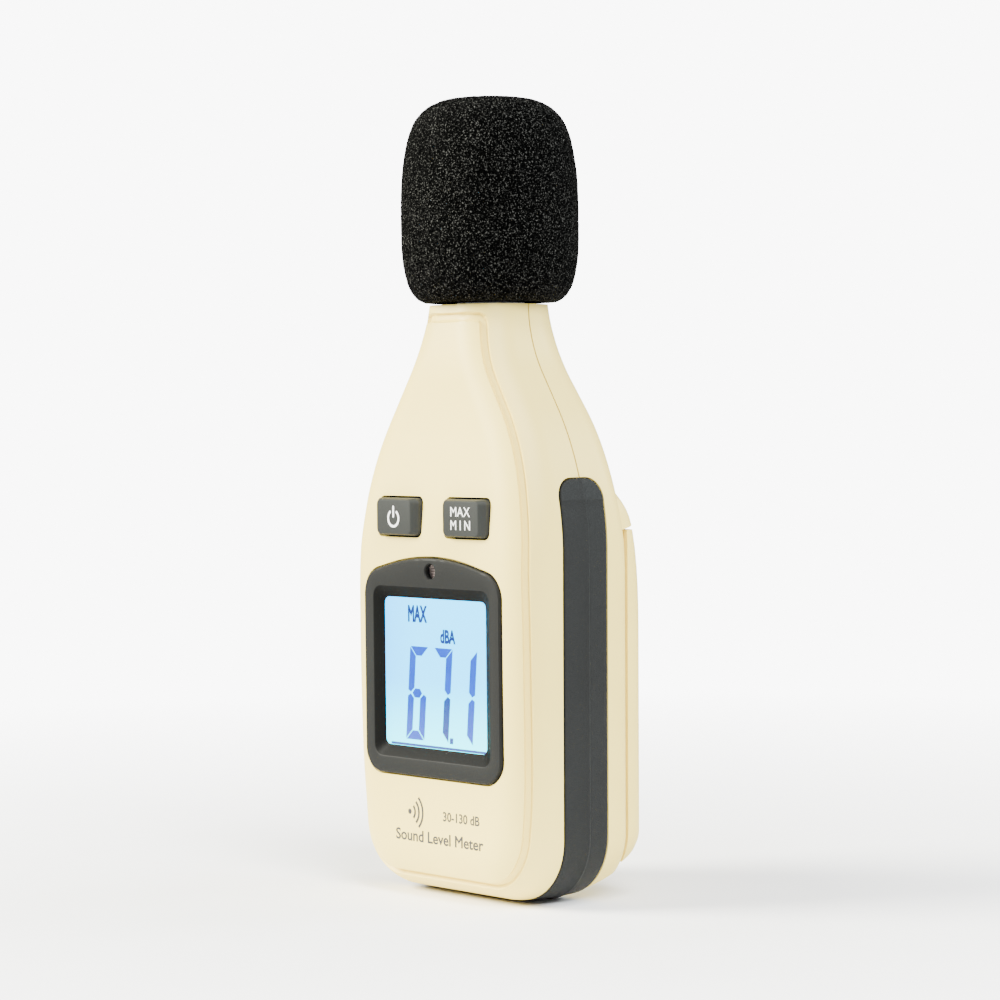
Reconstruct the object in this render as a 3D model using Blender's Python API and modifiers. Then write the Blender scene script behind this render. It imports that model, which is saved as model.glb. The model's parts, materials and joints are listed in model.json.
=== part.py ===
"""Pocket sound level meter with a foam windscreen, built as separate pieces.

The scene is in metres with +Z up. Sizes below are in millimetres and are scaled when an object is made.
The origin is at the bottom centre: the display faces -Y, and the case halves part on the plane y = 0.
"""

import math

import bmesh
import bpy
from mathutils import Matrix, Vector

MM = 0.001
GAP = 0.3  # between pieces that touch

# Case outline, seen from the front
BODY_HALF = 25.65  # half width at the shoulder
FOOT_HALF = 25.2  # half width just above the bottom corners
FOOT_Z = 0.6
FOOT_RADIUS = 12.0
SHOULDER_RADIUS = 50.0
SHOULDER_SLOPE = 32.0  # degrees from upright, between shoulder and neck
NECK_RADIUS = 24.0
NECK_HALF = 10.5
NECK_TOP = 110.2
WALL = 2.0

# Distance of each face from the parting plane, and the radius of its edges, as (height, value) rows
FRONT_DEPTH = ((58.0, 15.35), (73.0, 14.5), (81.0, 13.6), (90.0, 12.7), (99.0, 12.2), (110.2, 10.5))
FRONT_EDGE = (
    (8.0, 9.4), (26.0, 7.6), (62.0, 7.4), (72.0, 8.2), (84.0, 7.9), (97.0, 7.6), (110.2, 8.2),
)
BACK_DEPTH = ((60.0, 11.3), (80.0, 12.0), (96.0, 12.2), (110.2, 10.5))
BACK_EDGE = ((60.0, 3.0), (78.0, 6.5), (88.0, 8.0), (98.0, 9.5), (110.2, 10.0))
BOX_DEPTH = ((50.0, 16.69), (60.0, 16.34), (66.0, 15.6), (72.0, 14.2), (78.0, 9.4), (84.0, 4.0))
BOX_EDGE = ((6.0, 5.6), (11.0, 4.0))
BOX_INSET = 1.4  # battery box sides, in from the case outline
BACK_PLANE = 11.3  # flat back of the rear shell, under the battery cover
CHAMFER_POINT = (0.0, 11.54, 6.5)  # the slope across the bottom of the back
CHAMFER_NORMAL = (0.0, 0.577, -0.817)

# Battery cover
COVER_WALL = 1.5
COVER_TOP = 68.2
COVER_RIM = BACK_PLANE + GAP
HINGE = (0.0, 10.2, 6.9)
HINGE_X = 11.0
KNUCKLE_RADIUS = 0.8

# Rubber band round the sides and bottom
BAND_FRONT = -5.66
BAND_BACK = 4.94
BAND_TOP = 77.8
BAND_PROUD = 0.6
BAND_CREST = 2.0  # half width of the flat along its middle, which is also the foot
BAND_EDGE_PROUD = 0.3
BAND_DEPTH = 1.0
BAND_END_LENGTH = 4.0

# Display
BEZEL_HALF = 19.2
BEZEL_LOW = 22.7
BEZEL_SHOULDER = 60.2
BEZEL_CREST = 64.9
BEZEL_FRONT = -15.81
BEZEL_SEAT = -14.35
WINDOW_HALF = 14.35
WINDOW_LOW = 28.0
WINDOW_HIGH = 55.8
BEZEL_SLOPE = 2.0  # width of the sloping inner walls
SENSOR_Z = 60.9
SENSOR_HOLE = 1.45

# Buttons
BUTTON_X = 9.5
BUTTON_Z = 70.9
BUTTON_WIDTH = 12.0
BUTTON_HEIGHT = 7.0
BUTTON_FRONT = -16.4
BUTTON_WALL = -15.2  # where its sides start to slope
FLANGE_FRONT = -11.9
FLANGE_BACK = -11.2

# Display module, behind the window
LCD_FRONT = -13.1
LCD_BACK = -11.1
LIGHT_FRONT = -10.8
LIGHT_BACK = -7.5

# Circuit board
BOARD_FRONT = -7.1
BOARD_BACK = -5.5
BOARD_HALF = 17.5
BOARD_POSTS = ((-14.5, 13.0), (14.5, 13.0), (-11.5, 83.0), (11.5, 83.0))
SWITCH_FRONT = -10.6

# Microphone and foam
TUBE_RADIUS = 6.35
TUBE_BORE = 5.6
TUBE_TOP = 125.0
FOAM_LOW = 110.6
FOAM_HIGH = 149.0
FOAM_RADIUS = 16.7
FOAM_BORE = 6.7

# Batteries: three AAA cells side by side
CELL_RADIUS = 5.2
CELL_LENGTH = 43.5
CELL_PITCH = 11.0
CELL_Y = 9.0
BAY_HALF = 17.4
BAY_LOW = 11.5
BAY_HIGH = 63.0
BAY_FLOOR = 3.4
BAY_WALL = 1.2

CASE_SCREWS = ((-20.6, 15.0), (20.6, 15.0), (-20.6, 62.0), (20.6, 62.0))

for old in list(bpy.data.objects):
    bpy.data.objects.remove(old, do_unlink=True)
PARTS = bpy.data.collections.new("sound_level_meter")
CUTTERS = bpy.data.collections.new("cutters")
CUTTERS.hide_render = True
for group in (PARTS, CUTTERS):
    bpy.context.scene.collection.children.link(group)


def finish_material(name, colour, roughness, metallic=0.0):
    material = bpy.data.materials.new(name)
    material.use_nodes = True
    shader = material.node_tree.nodes["Principled BSDF"]
    shader.inputs["Base Color"].default_value = (*colour, 1.0)
    shader.inputs["Roughness"].default_value = roughness
    shader.inputs["Metallic"].default_value = metallic
    return material


CREAM = finish_material("cream_case", (0.84, 0.78, 0.65), 0.45)
RUBBER = finish_material("grey_rubber", (0.06, 0.07, 0.075), 0.8)
DARK = finish_material("dark_frame", (0.09, 0.095, 0.09), 0.5)
KEY = finish_material("grey_key", (0.14, 0.15, 0.14), 0.5)
FOAM = finish_material("black_foam", (0.01, 0.01, 0.01), 0.95)
CLEAR = finish_material("clear_window", (0.8, 0.92, 1.0), 0.05)
GLASS = finish_material("display_glass", (0.55, 0.8, 1.0), 0.1)
GREEN = finish_material("board_green", (0.02, 0.18, 0.07), 0.4)
BLACK = finish_material("black_plastic", (0.02, 0.02, 0.02), 0.5)
STEEL = finish_material("plated_steel", (0.6, 0.6, 0.6), 0.3, 1.0)
BLUE = finish_material("blue_plastic", (0.05, 0.15, 0.6), 0.4)
WHITE = finish_material("white_plastic", (0.85, 0.85, 0.85), 0.4)
CELL = finish_material("cell_jacket", (0.02, 0.1, 0.05), 0.35)
RED = finish_material("red_wire", (0.6, 0.02, 0.02), 0.5)


# ---- Making objects -------------------------------------------------------------------------------


def make(name, bm, material=None, pivot=(0.0, 0.0, 0.0)):
    """The object of a bmesh in millimetres, with its origin at pivot. Without a material it is a cutter."""
    bmesh.ops.translate(bm, vec=-Vector(pivot), verts=bm.verts)
    bmesh.ops.scale(bm, vec=(MM, MM, MM), verts=bm.verts)
    mesh = bpy.data.meshes.new(name)
    bm.to_mesh(mesh)
    bm.free()
    obj = bpy.data.objects.new(name, mesh)
    obj.location = Vector(pivot) * MM
    if material is None:
        CUTTERS.objects.link(obj)
        obj.hide_render = True
        obj.display_type = "WIRE"
        return obj
    PARTS.objects.link(obj)
    mesh.materials.append(material)
    mesh.shade_smooth()
    mesh.set_sharp_from_angle(angle=math.radians(30))
    return obj


def combine(obj, label, bm, operation="DIFFERENCE"):
    """Cuts a bmesh from obj, or joins it on, with a Boolean modifier."""
    modifier = obj.modifiers.new(label, "BOOLEAN")
    modifier.operation = operation
    modifier.object = make(f"{obj.name}_{label}", bm)


def join(obj, label, bm):
    combine(obj, label, bm, "UNION")


def box(low, high):
    bm = bmesh.new()
    bmesh.ops.create_cube(bm, size=1.0)
    size = [b - a for a, b in zip(low, high)]
    middle = [(a + b) / 2 for a, b in zip(low, high)]
    bmesh.ops.scale(bm, vec=size, verts=bm.verts)
    bmesh.ops.translate(bm, vec=middle, verts=bm.verts)
    return bm


def rod(centre, radius, low, high, axis="Y", sides=20):
    """A cylinder from low to high along an axis. centre gives its other two coordinates."""
    bm = bmesh.new()
    bmesh.ops.create_cone(
        bm, cap_ends=True, segments=sides, radius1=radius, radius2=radius, depth=high - low,
    )
    bmesh.ops.translate(bm, vec=(0, 0, (low + high) / 2), verts=bm.verts)
    if axis == "Y":
        bmesh.ops.rotate(bm, matrix=Matrix.Rotation(math.radians(-90), 3, "X"), verts=bm.verts)
        bmesh.ops.translate(bm, vec=(centre[0], 0, centre[1]), verts=bm.verts)
    elif axis == "X":
        bmesh.ops.rotate(bm, matrix=Matrix.Rotation(math.radians(90), 3, "Y"), verts=bm.verts)
        bmesh.ops.translate(bm, vec=(0, centre[0], centre[1]), verts=bm.verts)
    else:
        bmesh.ops.translate(bm, vec=(centre[0], centre[1], 0), verts=bm.verts)
    return bm


def fillet(corners, steps=5):
    """Points of a closed outline from (x, z, radius) corners, each rounded by an arc."""
    points = []
    for i, (x, z, radius) in enumerate(corners):
        here = Vector((x, z))
        back = (Vector(corners[i - 1][:2]) - here).normalized()
        ahead = (Vector(corners[(i + 1) % len(corners)][:2]) - here).normalized()
        if radius == 0:
            points.append(here)
            continue
        half = back.angle(ahead) / 2
        centre = here + (back + ahead).normalized() * radius / math.sin(half)
        start = here + back * radius / math.tan(half) - centre
        end = here + ahead * radius / math.tan(half) - centre
        turn = start.angle_signed(end)
        for step in range(steps + 1):
            angle = -turn * step / steps
            turned = Matrix.Rotation(angle, 2) @ start
            points.append(centre + turned)
    return points


def loft(levels):
    """A solid through flat outlines of equal length, given as (outline, y) pairs."""
    bm = bmesh.new()
    loops = [[bm.verts.new((p.x, y, p.y)) for p in outline] for outline, y in levels]
    for a, b in zip(loops, loops[1:]):
        for k in range(len(a)):
            after = (k + 1) % len(a)
            bm.faces.new((a[k], b[k], b[after], a[after]))
    bm.faces.new(loops[0])
    bm.faces.new(loops[-1][::-1])
    bmesh.ops.recalc_face_normals(bm, faces=bm.faces)
    return bm


def slab(outline, front, back, grow=0.0, taper=0.0):
    """A flat outline made solid from y = front to y = back. taper shrinks it towards the back."""
    bm = bmesh.new()
    middle = sum(outline, Vector((0.0, 0.0))) / len(outline)
    verts = []
    for point in outline:
        out = point - middle
        spot = point + Vector((math.copysign(grow, out.x), math.copysign(grow, out.y)))
        verts.append(bm.verts.new((spot.x, front, spot.y)))
    face = bm.faces.new(verts)
    moved = bmesh.ops.extrude_face_region(bm, geom=[face])["geom"]
    for vert in (v for v in moved if isinstance(v, bmesh.types.BMVert)):
        vert.co.y = back
        if taper:
            vert.co.x -= math.copysign(taper, vert.co.x - middle.x)
            vert.co.z -= math.copysign(taper, vert.co.z - middle.y)
    bmesh.ops.recalc_face_normals(bm, faces=bm.faces)
    return bm


def rectangle(middle_x, middle_z, half_width, half_height, radius, steps=4):
    left, right = middle_x - half_width, middle_x + half_width
    low, high = middle_z - half_height, middle_z + half_height
    corners = ((left, low, radius), (right, low, radius), (right, high, radius), (left, high, radius))
    return fillet(corners, steps)


def turned(name, profile, material, centre=(0.0, 0.0, 0.0), sides=24):
    """A round piece from a closed (radius, height) profile, by a Screw modifier about an upright axis."""
    mesh = bpy.data.meshes.new(name)
    points = [(radius * MM, 0.0, height * MM) for radius, height in profile]
    closed = min(radius for radius, _ in profile) > 0
    last = len(points) if closed else len(points) - 1
    mesh.from_pydata(points, [(i, (i + 1) % len(points)) for i in range(last)], [])
    mesh.materials.append(material)
    obj = bpy.data.objects.new(name, mesh)
    obj.location = Vector(centre) * MM
    PARTS.objects.link(obj)
    screw = obj.modifiers.new("turn", "SCREW")
    screw.steps = sides
    screw.render_steps = sides
    screw.use_merge_vertices = True
    screw.merge_threshold = 0.00001
    screw.use_smooth_shade = True
    return obj


def ring(low, high, inner, outer):
    """Profile of a plain sleeve, down its outer side and up its bore."""
    return ((outer, high), (outer, low), (inner, low), (inner, high))


def wire(name, points, radius, material, smooth=True):
    """A round wire through the points, as a POLY spline with filled caps."""
    route = bend(points) if smooth else points
    curve = bpy.data.curves.new(name, "CURVE")
    curve.dimensions = "3D"
    curve.bevel_depth = radius * MM
    curve.bevel_resolution = 2
    curve.use_fill_caps = True
    spline = curve.splines.new("POLY")
    spline.points.add(len(route) - 1)
    for spot, point in zip(spline.points, route):
        spot.co = (*(c * MM for c in point), 1.0)
    curve.materials.append(material)
    obj = bpy.data.objects.new(name, curve)
    PARTS.objects.link(obj)
    return obj


def bend(points, steps=5):
    """Points along the smooth curve (Catmull-Rom) through a few given ones."""
    ends = [points[0], *points, points[-1]]
    route = []
    for a, b, c, d in zip(ends, ends[1:], ends[2:], ends[3:]):
        for step in range(steps):
            t = step / steps
            spot = [
                0.5 * (2 * q + (r - p) * t + (2 * p - 5 * q + 4 * r - s) * t * t
                       + (3 * q - p - 3 * r + s) * t ** 3)
                for p, q, r, s in zip(a, b, c, d)
            ]
            route.append(spot)
    route.append(list(points[-1]))
    return route


# ---- The case's shape -----------------------------------------------------------------------------


def eased(rows, height):
    """Value at a height on the smooth curve through (height, value) rows, level beyond both ends."""
    if height <= rows[0][0]:
        return rows[0][1]
    if height >= rows[-1][0]:
        return rows[-1][1]
    rates = [(b[1] - a[1]) / (b[0] - a[0]) for a, b in zip(rows, rows[1:])]
    slopes = [0.0] + [(p + q) / 2 for p, q in zip(rates, rates[1:])] + [rates[-1]]
    for i, (a, b) in enumerate(zip(rows, rows[1:])):
        if height <= b[0]:
            span = b[0] - a[0]
            t = (height - a[0]) / span
            return (
                a[1] * (1 + 2 * t) * (1 - t) ** 2 + b[1] * t * t * (3 - 2 * t)
                + slopes[i] * span * t * (1 - t) ** 2 - slopes[i + 1] * span * t * t * (1 - t)
            )


def case_outline():
    """Right half of the outline from the bottom's middle to the neck, as (point, inward normal) pairs."""
    slope = math.radians(SHOULDER_SLOPE)
    drop = 1 - math.cos(slope)
    straight = (BODY_HALF - NECK_HALF - (SHOULDER_RADIUS + NECK_RADIUS) * drop) / math.sin(slope)
    shoulder_z = NECK_TOP - (SHOULDER_RADIUS + NECK_RADIUS) * math.sin(slope) - straight * math.cos(slope)
    spots = [(Vector((0, FOOT_Z)), Vector((0, 1)))]
    corner = Vector((FOOT_HALF - FOOT_RADIUS, FOOT_Z + FOOT_RADIUS))
    for step in range(7):
        angle = math.radians(90 - 15 * step)
        out = Vector((math.cos(angle), -math.sin(angle)))
        spots.append((corner + out * FOOT_RADIUS, -out))
    for share in (0.3, 0.6, 0.85):
        height = corner.y + share * (shoulder_z - corner.y)
        spots.append((Vector((FOOT_HALF + (BODY_HALF - FOOT_HALF) * share, height)), Vector((-1, 0))))
    centre = Vector((BODY_HALF - SHOULDER_RADIUS, shoulder_z))
    for step in range(7):
        angle = slope * step / 6
        out = Vector((math.cos(angle), math.sin(angle)))
        spots.append((centre + out * SHOULDER_RADIUS, -out))
    centre = Vector((NECK_HALF + NECK_RADIUS, NECK_TOP))
    for step in range(7):
        angle = slope * (6 - step) / 6
        out = Vector((-math.cos(angle), -math.sin(angle)))
        spots.append((centre + out * NECK_RADIUS, out))
    return spots


OUTLINE = case_outline()


def half_case(side, depth, edge, rim, inset=0.0, thinner=0.0, steps=5):
    """Solid half of the case: side -1 is the front, +1 the back, and rim is its flat face's y.

    inset moves the outline in. thinner takes that much off the depth and the edge radius, for inner walls.
    """
    bm = bmesh.new()
    rows = []
    for point, inward in OUTLINE:
        start = point + inward * inset
        radius = max(eased(edge, start.y) - thinner, 0.4)
        row = [(start, rim)]
        for step in range(steps + 1):
            angle = math.radians(90) * step / steps
            spot = start + inward * radius * (1 - math.cos(angle))
            reach = eased(depth, spot.y) - thinner - radius * (1 - math.sin(angle))
            row.append((spot, side * max(reach, side * rim + 0.2)))
        rows.append(row)
    halves = []
    for mirror in (1, -1):
        halves.append([[bm.verts.new((mirror * p.x, y, p.y)) for p, y in row] for row in rows])
    right, left = halves
    for grid in halves:
        for a, b in zip(grid, grid[1:]):
            for k in range(len(a) - 1):
                bm.faces.new((a[k], b[k], b[k + 1], a[k + 1]))
    for k in (0, -1):
        for i in range(len(rows) - 1):
            bm.faces.new((right[i][k], right[i + 1][k], left[i + 1][k], left[i][k]))
    bm.faces.new(right[-1] + left[-1][::-1])
    bmesh.ops.remove_doubles(bm, verts=bm.verts, dist=0.002)
    bmesh.ops.dissolve_degenerate(bm, dist=0.001, edges=bm.edges)
    bmesh.ops.recalc_face_normals(bm, faces=bm.faces)
    return bm


def trim(bm, point, normal):
    """Cuts away what lies on the normal's side of a plane and closes the cut."""
    parts = bm.verts[:] + bm.edges[:] + bm.faces[:]
    cut = bmesh.ops.bisect_plane(bm, geom=parts, plane_co=point, plane_no=normal, clear_outer=True)
    edges = [e for e in cut["geom_cut"] if isinstance(e, bmesh.types.BMEdge)]
    bmesh.ops.holes_fill(bm, edges=edges, sides=len(edges))
    bmesh.ops.recalc_face_normals(bm, faces=bm.faces)
    return bm


def chamfered(bm, inward=0.0):
    """Slopes off the bottom of the back, as a plane moved inward from the outside one."""
    normal = Vector(CHAMFER_NORMAL).normalized()
    return trim(bm, Vector(CHAMFER_POINT) - normal * inward, normal)


def band(bottom, edge_top, crest_top, grow=0.0):
    """The U-shaped band: its depth below the outline, and its height above it at the edges and middle."""
    between = [OUTLINE[0], (OUTLINE[0][0].lerp(OUTLINE[1][0], 0.93), OUTLINE[0][1])] + [
        ((a[0] + b[0]) / 2, (a[1] + b[1]).normalized()) for a, b in zip(OUTLINE[1:], OUTLINE[2:])
    ]
    spots = [s for s in between if s[0].y < BAND_TOP]
    low, high = spots[-1], between[len(spots)]
    share = (BAND_TOP - low[0].y) / (high[0].y - low[0].y)
    tip = low[0].lerp(high[0], share)
    inward = low[1].lerp(high[1], share).normalized()
    along = Vector((inward.y, -inward.x))
    ends = []
    for angle in (0, 30, 55, 75, 90):
        back = BAND_END_LENGTH * (1 - math.sin(math.radians(angle))) - grow
        ends.append((tip - along * back, inward, math.cos(math.radians(angle))))
    rail = [(p, n, 1.0) for p, n in spots if p.y < BAND_TOP - BAND_END_LENGTH - 1.5] + ends
    full = [(Vector((-p.x, p.y)), Vector((-n.x, n.y)), w) for p, n, w in reversed(rail[1:])] + rail
    middle = (BAND_FRONT + BAND_BACK) / 2
    half = (BAND_BACK - BAND_FRONT) / 2 + grow
    bm = bmesh.new()
    loops = []
    for point, inward_here, width in full:
        wide = half * (0.35 + 0.65 * width)
        crest = BAND_CREST * wide / half
        profile = (
            (-wide, -bottom), (-wide, edge_top), (-middle * wide / half - crest, crest_top),
            (-middle * wide / half + crest, crest_top), (wide, edge_top), (wide, -bottom),
        )
        loops.append([
            bm.verts.new(((point - inward_here * out).x, middle + y, (point - inward_here * out).y))
            for y, out in profile
        ])
    for a, b in zip(loops, loops[1:]):
        for k in range(len(a)):
            after = (k + 1) % len(a)
            bm.faces.new((a[k], b[k], b[after], a[after]))
    bm.faces.new(loops[0])
    bm.faces.new(loops[-1][::-1])
    bmesh.ops.recalc_face_normals(bm, faces=bm.faces)
    return bm


def band_recess():
    return band(BAND_DEPTH + GAP, 3.0, 3.0, grow=GAP)


# ---- Case -----------------------------------------------------------------------------------------


def bezel_outline():
    return fillet((
        (-BEZEL_HALF, BEZEL_LOW, 4.5), (BEZEL_HALF, BEZEL_LOW, 4.5), (BEZEL_HALF, BEZEL_SHOULDER, 5.0),
        (0.0, BEZEL_CREST, 50.0), (-BEZEL_HALF, BEZEL_SHOULDER, 5.0),
    ))


def front_shell():
    shell = make("front_shell", half_case(-1, FRONT_DEPTH, FRONT_EDGE, -GAP / 2), CREAM)
    inside = half_case(-1, FRONT_DEPTH, FRONT_EDGE, 2.0, inset=WALL, thinner=WALL, steps=3)
    combine(shell, "inside", trim(inside, (0, 0, NECK_TOP - WALL), (0, 0, 1)))
    combine(shell, "band_recess", band_recess())
    combine(shell, "bezel_seat", slab(bezel_outline(), -20, BEZEL_SEAT, grow=GAP))
    middle = (WINDOW_LOW + WINDOW_HIGH) / 2
    high = (WINDOW_HIGH - WINDOW_LOW) / 2
    combine(shell, "window", slab(rectangle(0, middle, WINDOW_HALF + 1.4, high + 1.3, 1.0), -20, -8))
    combine(shell, "sensor_hole", rod((0, SENSOR_Z), 2.6, -20, -8))
    for tag, x in (("left", -BUTTON_X), ("right", BUTTON_X)):
        hole = rectangle(x, BUTTON_Z, BUTTON_WIDTH / 2 + 0.35, BUTTON_HEIGHT / 2 + 0.35, 1.2)
        combine(shell, f"{tag}_key_hole", slab(hole, -20, -8))
    for i, (x, z) in enumerate(CASE_SCREWS):
        join(shell, f"boss_{i}", rod((x, z), 2.5, -11.2, -0.8))
    for i, (x, z) in enumerate(BOARD_POSTS):
        depth = eased(FRONT_DEPTH, z)
        join(shell, f"post_{i}", rod((x, z), 2.2, -depth + 1.2, BOARD_FRONT - GAP))
    for i, (x, z) in enumerate(CASE_SCREWS):
        combine(shell, f"thread_{i}", rod((x, z), 1.3, -10.2, 1.0, sides=12))
    for i, (x, z) in enumerate(BOARD_POSTS):
        combine(shell, f"pilot_{i}", rod((x, z), 1.0, -11.2, 1.0, sides=12))
    combine(shell, "microphone_hole", rod((0, 0), TUBE_RADIUS + GAP, 90, 120, axis="Z", sides=32))


def rear_shell():
    outer = chamfered(half_case(1, BACK_DEPTH, BACK_EDGE, GAP / 2))
    shell = make("rear_shell", outer, CREAM)
    bump = half_case(1, BOX_DEPTH, BOX_EDGE, BACK_PLANE - 2.6, inset=BOX_INSET)
    trim(bump, (0, 0, 80.0), (0, 0, 1))
    trim(bump, (0, BACK_PLANE, COVER_TOP + GAP), (0, 0.2, -1))
    join(shell, "bump", bump)
    inside = half_case(1, BACK_DEPTH, BACK_EDGE, -2.0, inset=WALL, thinner=WALL, steps=3)
    trim(inside, (0, 0, NECK_TOP - WALL), (0, 0, 1))
    combine(shell, "inside", chamfered(inside, WALL))
    combine(shell, "band_recess", band_recess())
    walls = box(
        (-BAY_HALF - BAY_WALL, BAY_FLOOR - BAY_WALL, BAY_LOW - BAY_WALL),
        (BAY_HALF + BAY_WALL, BACK_PLANE - 0.4, BAY_HIGH + BAY_WALL),
    )
    join(shell, "bay_walls", walls)
    for i, (x, z) in enumerate(CASE_SCREWS):
        join(shell, f"column_{i}", rod((x, z), 3.0, 0.5, BACK_PLANE - 0.5))
    combine(shell, "bay", box((-BAY_HALF, BAY_FLOOR, BAY_LOW), (BAY_HALF, 14, BAY_HIGH)))
    for i, (x, z) in enumerate(CASE_SCREWS):
        combine(shell, f"counterbore_{i}", rod((x, z), 2.3, 8.2, 14))
        combine(shell, f"clearance_{i}", rod((x, z), 1.35, -1, 10, sides=12))
    for tag, x in (("left", -HINGE_X), ("right", HINGE_X)):
        combine(shell, f"{tag}_hinge_slot", box((x - 3.0, 9.0, 4.0), (x + 3.0, 14.0, 8.4)))
    combine(shell, "latch_slot", box((-5.6, 8.0, 65.0), (5.6, 14.0, 68.0)))
    for tag, x in (("negative", -CELL_PITCH), ("positive", CELL_PITCH)):
        z = BAY_LOW if tag == "negative" else BAY_HIGH - 1.4
        combine(shell, f"{tag}_slot", box((x - 1.6, 1.5, z - 0.2), (x + 1.6, 4.0, z + 1.6)))
    combine(shell, "microphone_hole", rod((0, 0), TUBE_RADIUS + GAP, 90, 120, axis="Z", sides=32))


def battery_cover():
    outer = chamfered(half_case(1, BOX_DEPTH, BOX_EDGE, COVER_RIM, inset=BOX_INSET))
    trim(outer, (0, 0, COVER_TOP), (0, 0, 1))
    cover = make("battery_cover", outer, CREAM, pivot=HINGE)
    inside = half_case(
        1, BOX_DEPTH, BOX_EDGE, 5.0, inset=BOX_INSET + COVER_WALL, thinner=COVER_WALL, steps=3,
    )
    trim(inside, (0, 0, COVER_TOP - COVER_WALL), (0, 0, 1))
    combine(cover, "inside", chamfered(inside, COVER_WALL))
    for tag, x in (("left", -HINGE_X), ("right", HINGE_X)):
        arm = box((x - 2.2, HINGE[1], HINGE[2] - 0.4), (x + 2.2, 12.6, HINGE[2] + 0.6))
        join(cover, f"{tag}_arm", arm)
        knuckle = rod(HINGE[1:], KNUCKLE_RADIUS, x - 2.5, x + 2.5, axis="X", sides=12)
        join(cover, f"{tag}_knuckle", knuckle)
    join(cover, "latch", box((-5.0, 9.8, 66.0), (5.0, 12.6, 67.4)))


def grip_band():
    make("grip_band", band(BAND_DEPTH, BAND_EDGE_PROUD, BAND_PROUD), RUBBER)


# ---- Display and buttons --------------------------------------------------------------------------


def display():
    middle = (WINDOW_LOW + WINDOW_HIGH) / 2
    high = (WINDOW_HIGH - WINDOW_LOW) / 2
    bezel = make("display_bezel", slab(bezel_outline(), BEZEL_FRONT, BEZEL_SEAT - GAP), DARK)
    slope = BEZEL_SLOPE * 1.06
    opening = rectangle(0, middle, WINDOW_HALF + slope, high + slope, 2.0)
    combine(bezel, "opening", slab(opening, BEZEL_FRONT - 0.08, BEZEL_SEAT - GAP + 0.05, taper=slope))
    combine(bezel, "sensor_hole", rod((0, SENSOR_Z), SENSOR_HOLE, -20, -10, sides=16))
    pane = rectangle(0, middle, WINDOW_HALF + 1.0, high + 0.9, 0.8)
    make("display_window", slab(pane, BEZEL_SEAT, BEZEL_SEAT + 0.75), CLEAR)
    make("lcd_glass", box((-16.8, LCD_FRONT, 22.5), (16.8, LCD_BACK, 58.0)), GLASS)
    make("lcd_backlight", box((-16.0, LIGHT_FRONT, 25.5), (16.0, LIGHT_BACK, 57.5)), WHITE)
    make("zebra_strip", box((-14.0, LIGHT_FRONT, 22.7), (14.0, BOARD_FRONT - GAP, 25.1)), BLACK)
    sensor = make("light_sensor", rod((0, SENSOR_Z), 2.1, -14.3, -12.6, sides=16), WHITE)
    for tag, x in (("left", -1.3), ("right", 1.3)):
        join(sensor, f"{tag}_leg", rod((x, SENSOR_Z), 0.3, -13.0, BOARD_FRONT - GAP, sides=8))


def button(name, x):
    """One key: a cap with sloping sides, standing on a flange behind the case wall."""
    half, high = BUTTON_WIDTH / 2, BUTTON_HEIGHT / 2
    flange = rectangle(x, BUTTON_Z, half + 1.1, high + 0.8, 0.8)
    side = rectangle(x, BUTTON_Z, half, high, 1.1)
    crown = rectangle(x, BUTTON_Z, half - 1.2, high - 0.3, 0.8)
    levels = (
        (flange, FLANGE_BACK), (flange, FLANGE_FRONT), (side, FLANGE_FRONT), (side, BUTTON_WALL),
        (crown, BUTTON_FRONT),
    )
    make(name, loft(levels), KEY, pivot=(x, BUTTON_FRONT, BUTTON_Z))


def switch(name, plunger_name, x):
    """A board switch: a square body with a well, and the plunger that the key pushes into it."""
    body = box((x - 3.0, SWITCH_FRONT, BUTTON_Z - 3.0), (x + 3.0, BOARD_FRONT - GAP, BUTTON_Z + 3.0))
    obj = make(name, body, BLACK)
    combine(obj, "well", rod((x, BUTTON_Z), 1.9, SWITCH_FRONT - 1.0, SWITCH_FRONT + 1.8, sides=16))
    stem = rod((x, BUTTON_Z), 1.6, -10.9, SWITCH_FRONT + 0.9, sides=16)
    make(plunger_name, stem, WHITE, pivot=(x, SWITCH_FRONT, BUTTON_Z))


# ---- Circuit board --------------------------------------------------------------------------------


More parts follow.
